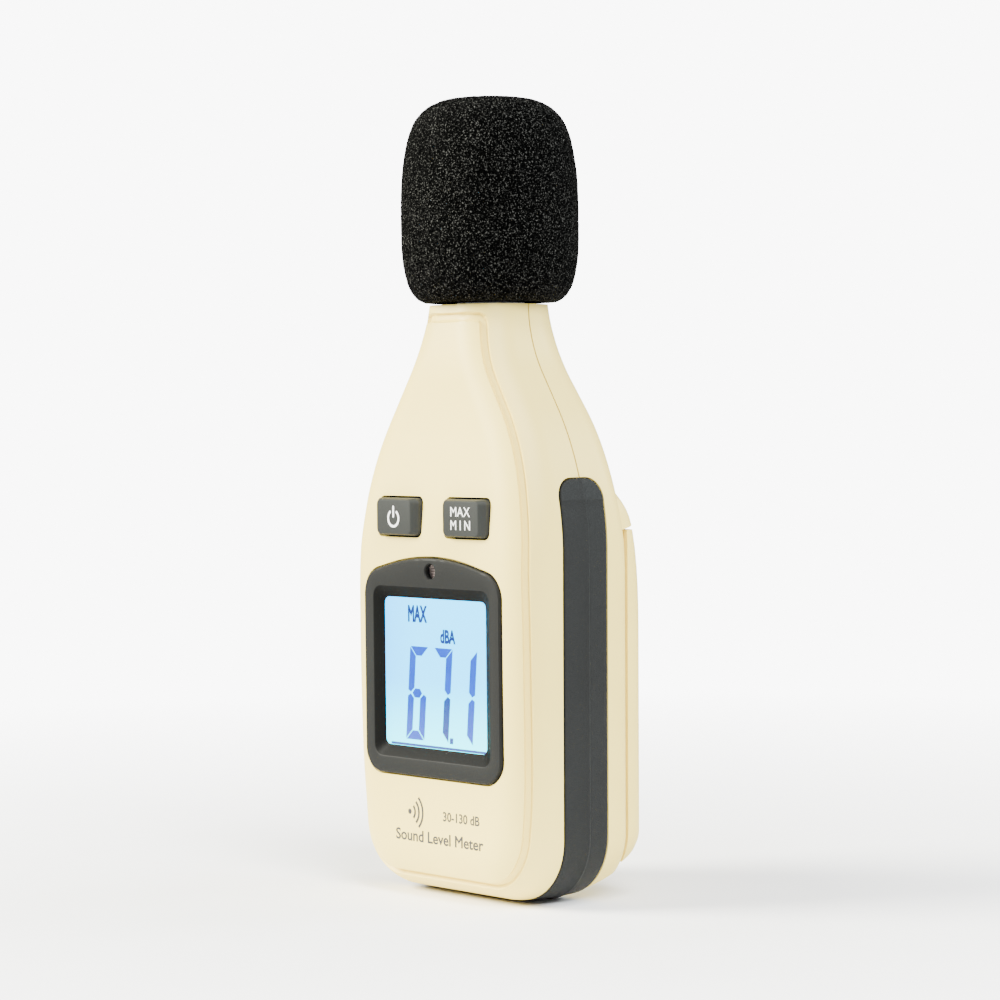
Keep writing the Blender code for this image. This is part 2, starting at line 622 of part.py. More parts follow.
def circuit_board():
    outline = [Vector(p) for p in (
        (-BOARD_HALF, 6.0), (BOARD_HALF, 6.0), (BOARD_HALF, 78.0), (11.5, 90.0), (-11.5, 90.0),
        (-BOARD_HALF, 78.0),
    )]
    board = make("main_board", slab(outline, BOARD_FRONT, BOARD_BACK), GREEN)
    for i, (x, z) in enumerate(BOARD_POSTS):
        combine(board, f"hole_{i}", rod((x, z), 1.2, -10, -2, sides=12))
        profile = (
            (0.0, BOARD_BACK + 1.3), (1.7, BOARD_BACK + 1.0), (1.7, BOARD_BACK + 0.2),
            (0.7, BOARD_BACK + 0.2), (0.7, -10.6), (0.0, -10.6),
        )
        screw_about_y(f"board_screw_{i + 1}", profile, (x, z), slot=0.7)
    back = BOARD_BACK + GAP
    make("mcu_chip", box((-6.0, back, 36.0), (6.0, back + 1.6, 48.0)), BLACK)
    make("amplifier_chip", box((-2.6, back, 76.0), (2.6, back + 1.5, 81.0)), BLACK)
    make("crystal", box((9.0, back, 38.0), (12.8, back + 2.4, 48.5)), STEEL)
    for i, (x, z) in enumerate(((-11.5, 70.0), (-11.5, 58.0))):
        profile = ((0.0, back + 4.4), (2.3, back + 4.4), (2.5, back + 4.1), (2.5, back), (0.0, back))
        turned_about_y(f"capacitor_{i + 1}", profile, (x, z), STEEL)
    trimmer = make("trimmer_body", box((7.0, back, 67.0), (13.6, back + 2.6, 73.6)), BLUE)
    combine(trimmer, "well", rod((10.3, 70.3), 2.3, back + 1.2, back + 4.0, sides=20))
    rotor = make(
        "trimmer_rotor", rod((10.3, 70.3), 2.0, back + 1.5, back + 2.5, sides=20), WHITE,
        pivot=(10.3, back, 70.3),
    )
    combine(rotor, "slot", box((8.9, back + 2.1, 70.0), (11.7, back + 4.0, 70.6)))


def turned_about_y(name, profile, centre, material):
    """A round piece on an axis along Y. The profile's heights are y values, highest first."""
    obj = turned(name, profile, material, sides=16)
    obj.rotation_euler.x = math.radians(-90)
    obj.location = (centre[0] * MM, 0.0, centre[1] * MM)
    return obj


def screw_about_y(name, profile, centre, slot):
    """A screw with its head towards +Y and a cross recess."""
    obj = turned_about_y(name, profile, centre, STEEL)
    head = profile[0][1]
    reach = profile[1][0] * 0.6
    for label, x, z in (("slot_x", reach, slot / 3), ("slot_z", slot / 3, reach)):
        cutter = box(
            (centre[0] - x, head - slot, centre[1] - z), (centre[0] + x, head + 2, centre[1] + z)
        )
        combine(obj, label, cutter)


def case_screws():
    for i, centre in enumerate(CASE_SCREWS):
        profile = (
            (0.0, 10.3), (1.6, 10.0), (2.0, 9.3), (2.0, 8.5), (1.0, 8.5), (1.0, -9.0), (0.0, -9.4),
        )
        screw_about_y(f"case_screw_{i + 1}", profile, centre, slot=0.9)


# ---- Batteries ------------------------------------------------------------------------------------


def batteries():
    """Three cells side by side, the middle one upside down, with a spring at each negative end."""
    for i in range(3):
        x = (i - 1) * CELL_PITCH
        upright = i != 1
        start = 17.0 if upright else 58.1
        way = 1 if upright else -1
        profile = [
            (0.0, 0.0), (CELL_RADIUS - 0.3, 0.0), (CELL_RADIUS, 0.3), (CELL_RADIUS, CELL_LENGTH - 0.5),
            (CELL_RADIUS - 0.6, CELL_LENGTH), (1.9, CELL_LENGTH), (1.9, CELL_LENGTH + 1.0),
            (0.0, CELL_LENGTH + 1.0),
        ]
        placed = [(radius, start + way * height) for radius, height in profile]
        if upright:
            placed.reverse()
        turned(f"battery_{i + 1}", placed, CELL, centre=(x, CELL_Y, 0.0))
        turns, per_turn, pitch = 3, 10, 1.05
        coil = []
        base = BAY_LOW + 1.3 if upright else BAY_HIGH - 1.3
        for step in range(turns * per_turn + 1):
            angle = 2 * math.pi * step / per_turn
            radius = 3.6 - 1.6 * step / (turns * per_turn)
            height = base + way * pitch * step / per_turn
            coil.append((x + radius * math.cos(angle), CELL_Y + radius * math.sin(angle), height))
        wire(f"contact_spring_{i + 1}", coil, 0.35, STEEL, smooth=False)
    low, high = BAY_LOW + 0.3, BAY_HIGH - 0.3
    top_low, top_high = high - 0.4, high
    plate("terminal_plate_negative", -CELL_PITCH, -CELL_PITCH, low, low + 0.4, tail=True)
    plate("bridge_plate_bottom", 0.0, CELL_PITCH, low, low + 0.4)
    plate("bridge_plate_top", -CELL_PITCH, 0.0, top_low, top_high)
    plate("terminal_plate_positive", CELL_PITCH, CELL_PITCH, top_low, top_high, tail=True)


def plate(name, left, right, low, high, tail=False):
    """A flat contact across one or two cells, with a tail through the bay's floor."""
    obj = make(name, box((left - 4.2, 4.6, low), (right + 4.2, 13.2, high)), STEEL)
    if tail:
        join(obj, "tail", box((left - 1.0, 1.4, low), (left + 1.0, 5.0, high)))


def leads():
    """Battery and microphone wires, from their contacts to the board's back face."""
    pad = BOARD_BACK + 0.5
    wire("battery_lead_black", (
        (-CELL_PITCH, 0.9, BAY_LOW + 0.5), (-11.0, -0.6, 12.6), (-10.4, -3.0, 15.5), (-10.0, pad, 19.0),
    ), 0.45, BLACK)
    wire("battery_lead_red", (
        (CELL_PITCH, 0.9, BAY_HIGH - 0.5), (11.0, -0.5, 61.5), (8.5, -2.6, 58.5), (7.5, pad, 55.0),
    ), 0.45, RED)
    for name, x, material in (("mic_lead_red", 1.2, RED), ("mic_lead_black", -1.2, BLACK)):
        wire(name, (
            (x, 0.0, 116.8), (x, -0.3, 110.0), (x * 1.5, -1.6, 101.0), (x * 2.4, -3.4, 93.0),
            (x * 2.6, pad + 0.6, 88.5), (x * 2.6, pad, 86.5),
        ), 0.45, material)


# ---- Microphone and windscreen --------------------------------------------------------------------


def microphone():
    turned("mic_tube", (
        (TUBE_RADIUS, TUBE_TOP), (TUBE_RADIUS, 107.9), (8.0, 107.9), (8.0, 106.2), (TUBE_BORE, 106.2),
        (TUBE_BORE, TUBE_TOP),
    ), STEEL, sides=32)
    grid = turned("mic_grid", (
        (0.0, 127.6), (5.6, 127.6), (TUBE_RADIUS, 126.9), (TUBE_RADIUS, 125.3), (5.3, 125.3),
        (5.3, 126.7), (0.0, 126.7),
    ), STEEL, sides=32)
    combine(grid, "hole_0", rod((0, 0), 0.9, 120, 130, axis="Z", sides=12))
    for i in range(6):
        angle = math.radians(60 * i)
        centre = (3.1 * math.cos(angle), 3.1 * math.sin(angle))
        combine(grid, f"hole_{i + 1}", rod(centre, 0.9, 120, 130, axis="Z", sides=12))
    turned("mic_capsule", (
        (0.0, 124.3), (4.5, 124.3), (4.7, 124.1), (4.7, 117.4), (0.0, 117.4),
    ), STEEL)
    turned("mic_gasket", ring(118.0, 123.6, 4.95, 5.4), BLACK)


def windscreen():
    """Foam ball with a round-shouldered barrel shape and a blind bore for the microphone."""
    shape = (
        (0.0, FOAM_HIGH), (5.0, 148.9), (8.6, 148.4), (11.4, 147.2), (13.2, 145.6), (14.4, 143.8),
        (15.4, 141.0), (16.0, 138.0), (16.5, 134.0), (FOAM_RADIUS, 129.0), (FOAM_RADIUS, 122.0),
        (16.5, 118.8), (16.0, 115.8), (15.2, 113.3), (13.9, 111.5), (12.4, FOAM_LOW),
        (FOAM_BORE, FOAM_LOW), (FOAM_BORE, 129.0), (0.0, 129.0),
    )
    turned("windscreen", shape, FOAM, sides=32)


front_shell()
rear_shell()
battery_cover()
grip_band()
display()
button("power_button", -BUTTON_X)
button("max_min_button", BUTTON_X)
switch("power_switch", "power_plunger", -BUTTON_X)
switch("max_min_switch", "max_min_plunger", BUTTON_X)
circuit_board()
case_screws()
batteries()
leads()
microphone()
windscreen()
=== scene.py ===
"""Pocket sound level meter: detailed surfaces and materials over the CAD frame.

Shapes are built in millimetres and scaled to metres when a piece is placed.
"""

import json
import math

import bmesh
import bpy
from mathutils import Matrix, Vector, noise


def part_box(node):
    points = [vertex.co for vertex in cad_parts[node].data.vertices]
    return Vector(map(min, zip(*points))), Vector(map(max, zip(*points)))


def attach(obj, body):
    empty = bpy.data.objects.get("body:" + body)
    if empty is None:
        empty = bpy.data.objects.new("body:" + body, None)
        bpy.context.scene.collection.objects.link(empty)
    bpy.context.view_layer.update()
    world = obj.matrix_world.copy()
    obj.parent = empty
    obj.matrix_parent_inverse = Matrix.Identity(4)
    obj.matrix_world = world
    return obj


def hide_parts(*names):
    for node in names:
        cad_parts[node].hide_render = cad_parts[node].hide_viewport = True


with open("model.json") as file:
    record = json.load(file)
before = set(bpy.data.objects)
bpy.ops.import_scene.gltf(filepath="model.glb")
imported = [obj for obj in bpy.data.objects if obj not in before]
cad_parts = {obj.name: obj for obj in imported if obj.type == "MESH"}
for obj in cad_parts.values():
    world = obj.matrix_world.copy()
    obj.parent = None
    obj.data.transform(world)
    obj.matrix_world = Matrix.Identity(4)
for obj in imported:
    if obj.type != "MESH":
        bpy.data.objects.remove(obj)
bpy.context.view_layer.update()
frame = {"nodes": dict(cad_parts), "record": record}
NODES = frame["nodes"]
SLOTS = {part["node"]: part["material_slot"] for part in frame["record"]["subparts"]}
BODIES = {node: body for body, nodes in frame["record"]["behaviour"]["bodies"].items() for node in nodes}

MM = 0.001
GAP = 0.3
MIC_RADIUS = 6.35

# Case outline and section, the driving sizes of the moulding
BODY_HALF = 25.65
FOOT_HALF = 25.2
FOOT_Z = 0.6
FOOT_RADIUS = 12.0
SHOULDER_RADIUS = 50.0
SHOULDER_SLOPE = math.radians(32.0)
NECK_RADIUS = 24.0
NECK_HALF = 10.5
NECK_TOP = 110.2
WALL = 2.0
FRONT_DEPTH = ((58.0, 15.35), (73.0, 14.5), (81.0, 13.6), (90.0, 12.7), (99.0, 12.2), (110.2, 10.5))
FRONT_EDGE = (
    (8.0, 9.4), (26.0, 7.6), (62.0, 7.4), (72.0, 8.2), (84.0, 7.9), (97.0, 7.6), (110.2, 8.2),
)
BACK_DEPTH = ((60.0, 11.3), (80.0, 12.0), (96.0, 12.2), (110.2, 10.5))
BACK_EDGE = ((60.0, 3.0), (78.0, 6.5), (88.0, 8.0), (98.0, 9.5), (110.2, 10.0))
BOX_DEPTH = ((50.0, 16.69), (60.0, 16.34), (66.0, 15.6), (72.0, 14.2), (78.0, 9.4), (84.0, 4.0))
BOX_EDGE = ((6.0, 5.6), (11.0, 4.0))
BOX_INSET = 1.4
BACK_PLANE = 11.3
CHAMFER_POINT = Vector((0.0, 11.54, 6.5))
CHAMFER_NORMAL = Vector((0.0, 0.577, -0.817)).normalized()

# Decorative channel round the front: angle of its inner edge on the corner rounding, by height
CHANNEL_ANGLE = ((4.0, 53.0), (20.0, 47.0), (45.0, 48.0), (66.0, 51.0), (95.0, 52.0), (110.0, 52.5))
CHANNEL_TOP = 107.1
CHANNEL_WIDTH = 1.45
CHANNEL_DEPTH = 0.8
CHANNEL_CORNER = 0.8

# Cut from in front of the case to behind its front wall
THROUGH_FRONT = (-20.0, -8.0)

# Keys: flange round the cap, gap in the case, corner radius and height of the sloping crown
FLANGE_WIDE = 1.1
FLANGE_TALL = 0.8
FLANGE_THICK = 0.7
KEY_GAP = 0.35
KEY_RADIUS = 1.1
KEY_CROWN = 1.1

# Bezel: the window's edge under the frame, and the width of the sloping inner wall
PANE_MARGIN_X = 1.0
PANE_MARGIN_Z = 0.9
BEZEL_SLOPE = 2.3

# Foam: pit spacing, pit depth and finer roughness
PORE = 0.7
PORE_DEPTH = 0.3
ROUGH_DEPTH = 0.12

COVER_WALL = 1.5
BAND_DEPTH = 1.0
BAND_PROUD = 0.57
BAND_EDGE_PROUD = 0.16
BAND_END = 4.0
BOARD_POSTS = ((-14.5, 13.0), (14.5, 13.0), (-11.5, 83.0), (11.5, 83.0))
CASE_SCREWS = ((-20.6, 15.0), (20.6, 15.0), (-20.6, 62.0), (20.6, 62.0))


def span(node):
    """Lowest and highest corner of a CAD node, in millimetres."""
    low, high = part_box(node)
    return low / MM, high / MM


def middle_of(node):
    low, high = span(node)
    return (low + high) / 2


# ---- Mesh tools ------------------------------------------------------------------------------------


def moved(bm, offset):
    bmesh.ops.translate(bm, vec=offset, verts=bm.verts)
    return bm


def rotated(bm, degrees, axis):
    bmesh.ops.rotate(bm, matrix=Matrix.Rotation(math.radians(degrees), 3, axis), verts=bm.verts)
    return bm


def merged(bm, distance):
    bmesh.ops.remove_doubles(bm, verts=bm.verts, dist=distance)
    return bm


def outward(bm):
    bmesh.ops.recalc_face_normals(bm, faces=bm.faces)
    return bm


def sweep(bm, rows, closed=False):
    """Skin through rows of equal length: an edge chain from the first, extruded on to each other row."""
    verts = [bm.verts.new(spot) for spot in rows[0]]
    edges = [bm.edges.new(pair) for pair in zip(verts, verts[1:] + verts[:1] * closed)]
    for row in rows[1:]:
        made = bmesh.ops.extrude_edge_only(bm, edges=edges)["geom"]
        fresh = {item for item in made if isinstance(item, bmesh.types.BMVert)}
        ahead = []
        for vert, spot in zip(verts, row):
            after = next(e.other_vert(vert) for e in vert.link_edges if e.other_vert(vert) in fresh)
            after.co = spot
            ahead.append(after)
        edges = [bm.edges.get(pair) for pair in zip(ahead, ahead[1:] + ahead[:1] * closed)]
        verts = ahead
    return edges


def stack(levels):
    """Closed solid through rings of equal length, capped at both ends."""
    bm = bmesh.new()
    last = sweep(bm, levels, closed=True)
    bm.edges.ensure_lookup_table()
    open_edges = [e for e in bm.edges if e.is_boundary]
    bmesh.ops.holes_fill(bm, edges=open_edges, sides=len(open_edges))
    if any(e.is_boundary for e in last):
        bmesh.ops.contextual_create(bm, geom=last)
    return outward(bm)


def flat_ring(outline, y):
    return [Vector((p.x, y, p.y)) for p in outline]


def slab(outline, front, back):
    return stack([flat_ring(outline, front), flat_ring(outline, back)])


def box(low, high):
    bm = bmesh.new()
    bmesh.ops.create_cube(bm, size=1.0)
    bmesh.ops.scale(bm, vec=[b - a for a, b in zip(low, high)], verts=bm.verts)
    return moved(bm, [(a + b) / 2 for a, b in zip(low, high)])


def rod(centre, radius, low, high, axis="Y", sides=40):
    """Cylinder from low to high along an axis. centre gives its other two coordinates."""
    bm = bmesh.new()
    bmesh.ops.create_cone(bm, cap_ends=True, segments=sides, radius1=radius, radius2=radius, depth=high - low)
    moved(bm, (0, 0, (low + high) / 2))
    if axis == "Y":
        return moved(rotated(bm, -90, "X"), (centre[0], 0, centre[1]))
    if axis == "X":
        return moved(rotated(bm, 90, "Y"), (0, centre[0], centre[1]))
    return moved(bm, (centre[0], centre[1], 0))


def turned(profile, steps=96):
    """Round body from a (radius, height) profile spun about Z."""
    bm = bmesh.new()
    verts = [bm.verts.new((radius, 0.0, height)) for radius, height in profile]
    on_axis = profile[0][0] == 0 and profile[-1][0] == 0
    pairs = list(zip(verts, verts[1:] + ([] if on_axis else verts[:1])))
    edges = [bm.edges.new(pair) for pair in pairs]
    bmesh.ops.spin(
        bm, geom=verts + edges, axis=(0, 0, 1), cent=(0, 0, 0), steps=steps, angle=math.tau, use_merge=True,
    )
    return outward(merged(bm, 0.0005))


def to_mesh(name, bm):
    """A new mesh from a bmesh, which is freed."""
    mesh = bpy.data.meshes.new(name)
    bm.to_mesh(mesh)
    bm.free()
    return mesh


def to_bmesh(mesh):
    """A new bmesh from a mesh, which is removed."""
    bm = bmesh.new()
    bm.from_mesh(mesh)
    bpy.data.meshes.remove(mesh)
    return bm


def new_object(name, data):
    obj = bpy.data.objects.new(name, data)
    bpy.context.scene.collection.objects.link(obj)
    return obj


def gathered(shapes):
    """Several separate bodies in one bmesh."""
    whole = bmesh.new()
    for shape in shapes:
        mesh = to_mesh("part", shape)
        whole.from_mesh(mesh)
        bpy.data.meshes.remove(mesh)
    return whole


def fillet(corners, steps=8):
    """Closed outline from (x, z, radius) corners, each rounded by an arc."""
    points = []
    for i, (x, z, radius) in enumerate(corners):
        here = Vector((x, z))
        back = (Vector(corners[i - 1][:2]) - here).normalized()
        ahead = (Vector(corners[(i + 1) % len(corners)][:2]) - here).normalized()
        half = back.angle(ahead) / 2
        centre = here + (back + ahead).normalized() * radius / math.sin(half)
        start = here + back * radius / math.tan(half) - centre
        end = here + ahead * radius / math.tan(half) - centre
        turn = start.angle_signed(end)
        points += [centre + Matrix.Rotation(-turn * s / steps, 2) @ start for s in range(steps + 1)]
    return points


def rectangle(x, z, half_width, half_height, radius, steps=8):
    left, right, low, high = x - half_width, x + half_width, z - half_height, z + half_height
    corners = ((left, low), (right, low), (right, high), (left, high))
    return fillet([(*corner, radius) for corner in corners], steps)


def evenly(outline, centre, count=240):
    """The outline read at equal angles about its centre, so that unlike outlines pair up."""
    found = []
    for k in range(count):
        angle = math.tau * k / count
        ray = Vector((math.cos(angle), math.sin(angle)))
        best = None
        for a, b in zip(outline, outline[1:] + outline[:1]):
            side = b - a
            cross = ray.x * side.y - ray.y * side.x
            if abs(cross) < 1e-9:
                continue
            away = a - centre
            reach = (away.x * side.y - away.y * side.x) / cross
            share = (away.x * ray.y - away.y * ray.x) / cross
            if reach > 0 and -1e-6 <= share <= 1 + 1e-6:
                best = reach if best is None else max(best, reach)
        found.append(centre + ray * best)
    return found


def smooth_path(points, steps=6):
    """Points along the smooth curve through a few given ones."""
    ends = [points[0], *points, points[-1]]
    route = []
    for a, b, c, d in zip(ends, ends[1:], ends[2:], ends[3:]):
        for step in range(steps):
            t = step / steps
            route.append(tuple(
                0.5 * (
                    2 * q + (r - p) * t + (2 * p - 5 * q + 4 * r - s) * t * t
                    + (3 * q - p - 3 * r + s) * t ** 3
                )
                for p, q, r, s in zip(a, b, c, d)
            ))
    return route + [tuple(points[-1])]


def carved(bm, steps):
    """The bmesh after Boolean steps, each an (operation, bmesh) pair."""
    base = new_object("base", to_mesh("base", bm))
    helpers = []
    for operation, cutter in steps:
        helper = new_object("cutter", to_mesh("cutter", cutter))
        modifier = base.modifiers.new(operation, "BOOLEAN")
        modifier.operation = operation
        modifier.object = helper
        helpers.append(helper)
    bpy.context.view_layer.update()
    graph = bpy.context.evaluated_depsgraph_get()
    result = to_bmesh(bpy.data.meshes.new_from_object(base.evaluated_get(graph)))
    for obj in [base, *helpers]:
        old = obj.data
        bpy.data.objects.remove(obj)
        bpy.data.meshes.remove(old)
    return result


def place(name, bm, material, body, stands_for=(), angle=35):
    """A finished piece from a bmesh in millimetres, riding on a body."""
    bmesh.ops.scale(bm, vec=(MM, MM, MM), verts=bm.verts)
    mesh = to_mesh(name, bm)
    mesh.materials.append(material)
    mesh.shade_smooth()
    mesh.set_sharp_from_angle(angle=math.radians(angle))
    obj = new_object(name, mesh)
    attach(obj, body)
    if stands_for:
        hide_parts(*stands_for)
    return obj


def stand_in(node, bm, material, angle=35):
    """A detailed piece in place of one CAD node."""
    return place(f"{node}_detail", bm, material, BODIES[node], (node,), angle)


# ---- The case's shape ------------------------------------------------------------------------------


def eased(rows, height):
    """Value at a height on the smooth curve through (height, value) rows, level beyond both ends."""
    if height <= rows[0][0]:
        return rows[0][1]
    if height >= rows[-1][0]:
        return rows[-1][1]
    rates = [(b[1] - a[1]) / (b[0] - a[0]) for a, b in zip(rows, rows[1:])]
    slopes = [0.0] + [(p + q) / 2 for p, q in zip(rates, rates[1:])] + [rates[-1]]
    for i, (a, b) in enumerate(zip(rows, rows[1:])):
        if height <= b[0]:
            width = b[0] - a[0]
            t = (height - a[0]) / width
            return (
                a[1] * (1 + 2 * t) * (1 - t) ** 2 + b[1] * t * t * (3 - 2 * t)
                + slopes[i] * width * t * (1 - t) ** 2 - slopes[i + 1] * width * t * t * (1 - t)
            )


FLAT_STEPS = 8


def case_outline():
    """Right half of the outline, bottom middle to neck, as (point, inward normal) pairs."""
    drop = 1 - math.cos(SHOULDER_SLOPE)
    run = (BODY_HALF - NECK_HALF - (SHOULDER_RADIUS + NECK_RADIUS) * drop) / math.sin(SHOULDER_SLOPE)
    rise = (SHOULDER_RADIUS + NECK_RADIUS) * math.sin(SHOULDER_SLOPE) + run * math.cos(SHOULDER_SLOPE)
    shoulder_z = NECK_TOP - rise
    corner = Vector((FOOT_HALF - FOOT_RADIUS, FOOT_Z + FOOT_RADIUS))
    spots = [(Vector((corner.x * k / FLAT_STEPS, FOOT_Z)), Vector((0, 1))) for k in range(FLAT_STEPS)]
    for step in range(16):
        angle = math.radians(90 - 6 * step)
        out = Vector((math.cos(angle), -math.sin(angle)))
        spots.append((corner + out * FOOT_RADIUS, -out))
    for step in range(1, 14):
        share = step / 14
        height = corner.y + share * (shoulder_z - corner.y)
        spots.append((Vector((FOOT_HALF + (BODY_HALF - FOOT_HALF) * share, height)), Vector((-1, 0))))
    centre = Vector((BODY_HALF - SHOULDER_RADIUS, shoulder_z))
    for step in range(19):
        angle = SHOULDER_SLOPE * step / 18
        out = Vector((math.cos(angle), math.sin(angle)))
        spots.append((centre + out * SHOULDER_RADIUS, -out))
    centre = Vector((NECK_HALF + NECK_RADIUS, NECK_TOP))
    lift = NECK_RADIUS * math.sin(SHOULDER_SLOPE)
    heights = [lift * (1 - k / 8) for k in range(8)]
    heights = [h for h in heights if h > 5.0] + [4.6 - 0.23 * k for k in range(20)] + [0.0]
    for height in heights:
        angle = math.asin(height / NECK_RADIUS)
        out = Vector((-math.cos(angle), -math.sin(angle)))
        spots.append((centre + out * NECK_RADIUS, out))
    return spots


OUTLINE = case_outline()
COARSE = OUTLINE[0:FLAT_STEPS:4] + OUTLINE[FLAT_STEPS:-1:3] + OUTLINE[-1:]


def soft_step(value):
    value = min(max(value, 0.0), 1.0)
    return value * value * (3 - 2 * value)


def channel(across, height):
    """Depth of the decorative channel: across is the distance outside its inner edge."""
    p, q = across + CHANNEL_CORNER, height - CHANNEL_TOP + CHANNEL_CORNER
    away = math.hypot(max(p, 0), max(q, 0)) + min(max(p, q), 0) - CHANNEL_CORNER
    return CHANNEL_DEPTH * soft_step((away + 0.1) / 0.22) * soft_step((CHANNEL_WIDTH + 0.1 - away) / 0.3)


def arc_angles(radius, height, grooved):
    """Angles of the columns over the corner rounding, close together at the channel's edges."""
    if not grooved:
        return [(90 * k / 14, None) for k in range(15)]
    inner = eased(CHANNEL_ANGLE, height)
    offsets = [CHANNEL_WIDTH + d for d in (0.3, 0.12, 0.0, -0.1, -0.2)] + [1.0, 0.6, 0.25, 0.12, 0.05, 0.0]
    offsets += [-0.05, -0.12, -0.35]
    marks = [(inner - math.degrees(offset / radius), offset) for offset in offsets]
    low, high = marks[0][0], marks[-1][0]
    before = [(low * k / 7, math.radians(inner - low * k / 7) * radius) for k in range(7)]
    after = [high + (90 - high) * k / 6 for k in range(1, 7)]
    return before + marks + [(angle, math.radians(inner - angle) * radius) for angle in after]


def half_case(
    side, depth, edge, rim, inset=0.0, thinner=0.0, grooved=False, stations=OUTLINE, flat=FLAT_STEPS,
):
    """Closed half of the case: side -1 is the front and +1 the back, and rim is its flat face's y."""
    rows, panel = [], []
    for point, inward in stations:
        start = point + inward * inset
        radius = max(eased(edge, start.y) - thinner, 0.4)
        row = [Vector((start.x, rim, start.y))]
        for angle, across in arc_angles(radius, start.y, grooved):
            turn = math.radians(angle)
            spot = start + inward * radius * (1 - math.cos(turn))
            reach = eased(depth, spot.y) - thinner - radius * (1 - math.sin(turn))
            skin = Vector((spot.x, side * max(reach, side * rim + 0.2), spot.y))
            if grooved:
                out = Vector((-inward.x * math.cos(turn), side * math.sin(turn), -inward.y * math.cos(turn)))
                skin -= out * channel(across, spot.y)
            row.append(skin)
        rows.append(row)
        panel.append((across, spot))
    grid = []
    for across, spot in panel[flat:]:
        line = []
        for k in range(flat + 1):
            x = spot.x * (1 - k / flat)
            reach = eased(depth, spot.y) - thinner
            if grooved:
                reach -= channel(across - (spot.x - x), spot.y)
            line.append(Vector((x, side * max(reach, side * rim + 0.2), spot.y)))
        grid.append(line)
    bm = bmesh.new()
    sweep(bm, rows)
    sweep(bm, grid)
    merged(bm, 0.01)
    bmesh.ops.mirror(bm, geom=bm.verts[:] + bm.edges[:] + bm.faces[:], axis="X", merge_dist=0.01)
    merged(bm, 0.01)
    top = rows[-1][0].z
    ends = [v for v in bm.verts if abs(v.co.z - top) < 1e-4 and abs(v.co.y - rim) < 1e-4]
    across_top = bm.edges.new(ends)
    crown = [e for e in bm.edges if all(abs(v.co.z - top) < 1e-4 for v in e.verts) and len(e.link_faces) < 2]
    bmesh.ops.contextual_create(bm, geom=crown)
    seam = [across_top] + [e for e in bm.edges if e.is_boundary and e != across_top]
    bmesh.ops.contextual_create(bm, geom=seam)
    return outward(bm)


def trim(bm, point, normal):
    """Cuts away what lies on the normal's side of a plane and closes the cut."""
    parts = bm.verts[:] + bm.edges[:] + bm.faces[:]
    cut = bmesh.ops.bisect_plane(bm, geom=parts, plane_co=point, plane_no=normal, clear_outer=True)
    edges = [e for e in cut["geom_cut"] if isinstance(e, bmesh.types.BMEdge)]
    bmesh.ops.holes_fill(bm, edges=edges, sides=len(edges))
    return outward(bm)


def chamfered(bm, inward=0.0):
    return trim(bm, CHAMFER_POINT - CHAMFER_NORMAL * inward, CHAMFER_NORMAL)


def band(section, grow=0.0):
    """U-shaped band swept round the outline. section gives (share of half width, offset, height) points."""
    low, high = span("grip_band")
    front, back, tip_z = low.y, high.y, high.z
    between = [OUTLINE[0]] + [
        ((a[0] + b[0]) / 2, (a[1] + b[1]).normalized()) for a, b in zip(OUTLINE[1:], OUTLINE[2:])
    ]
    spots = [s for s in between if s[0].y < tip_z - BAND_END - 0.6]
    beyond = next(s for s in between if s[0].y > tip_z)
    before = [s for s in between if s[0].y <= tip_z][-1]
    share = (tip_z - before[0].y) / (beyond[0].y - before[0].y)
    tip, inward = before[0].lerp(beyond[0], share), before[1].lerp(beyond[1], share).normalized()
    along = Vector((inward.y, -inward.x))
    rail = [(p, n, 1.0) for p, n in spots]
    for angle in range(0, 91, 10):
        turn = math.radians(angle)
        rail.append((tip - along * (BAND_END * (1 - math.sin(turn)) - grow), inward, math.cos(turn)))
    full = [(Vector((-p.x, p.y)), Vector((-n.x, n.y)), w) for p, n, w in reversed(rail[1:])] + rail
    middle, half = (front + back) / 2, (back - front) / 2 + grow
    levels = []
    for point, inward_here, width in full:
        wide = half * (0.35 + 0.65 * width)
        level = []
        for part, shift, out in section:
            spot = point - inward_here * out
            level.append(Vector((spot.x, middle + part * wide + shift, spot.y)))
        levels.append(level)
    return stack(levels)


RECESS = ((-1, 0, -BAND_DEPTH - GAP), (-1, 0, 3.0), (1, 0, 3.0), (1, 0, -BAND_DEPTH - GAP))
BAND_SECTION = (
    (-1, 0, -BAND_DEPTH), (-1, 0, -0.1), (-1, 0.06, 0.06), (-1, 0.22, BAND_EDGE_PROUD), (-0.5, 0, 0.3),
    (-0.06, 0, 0.44), (0.02, 0, BAND_PROUD), (0.07, 0, BAND_PROUD), (0.13, 0, 0.4), (0.5, 0, 0.28),
    (1, -0.22, BAND_EDGE_PROUD), (1, -0.06, 0.06), (1, 0, -0.1), (1, 0, -BAND_DEPTH),
)


# ---- Materials -------------------------------------------------------------------------------------


def fix(target, **inputs):
    """Sets a node's inputs to constants."""
    for name, value in inputs.items():
        target.inputs[name.replace("_", " ")].default_value = value
    return target


def feed(target, label, value):
    """Links an output into a node's input."""
    target.id_data.links.new(value, target.inputs[label])


def node(tree, kind, **inputs):
    return fix(tree.nodes.new("ShaderNode" + kind), **inputs)


def new_group(name, inputs, outputs):
    tree = bpy.data.node_groups.new(name, "ShaderNodeTree")
    for label, kind, value in inputs:
        socket = tree.interface.new_socket(label, in_out="INPUT", socket_type=kind)
        if value is not None:
            socket.default_value = value
    for label, kind in outputs:
        tree.interface.new_socket(label, in_out="OUTPUT", socket_type=kind)
    return tree, tree.nodes.new("NodeGroupInput"), tree.nodes.new("NodeGroupOutput")


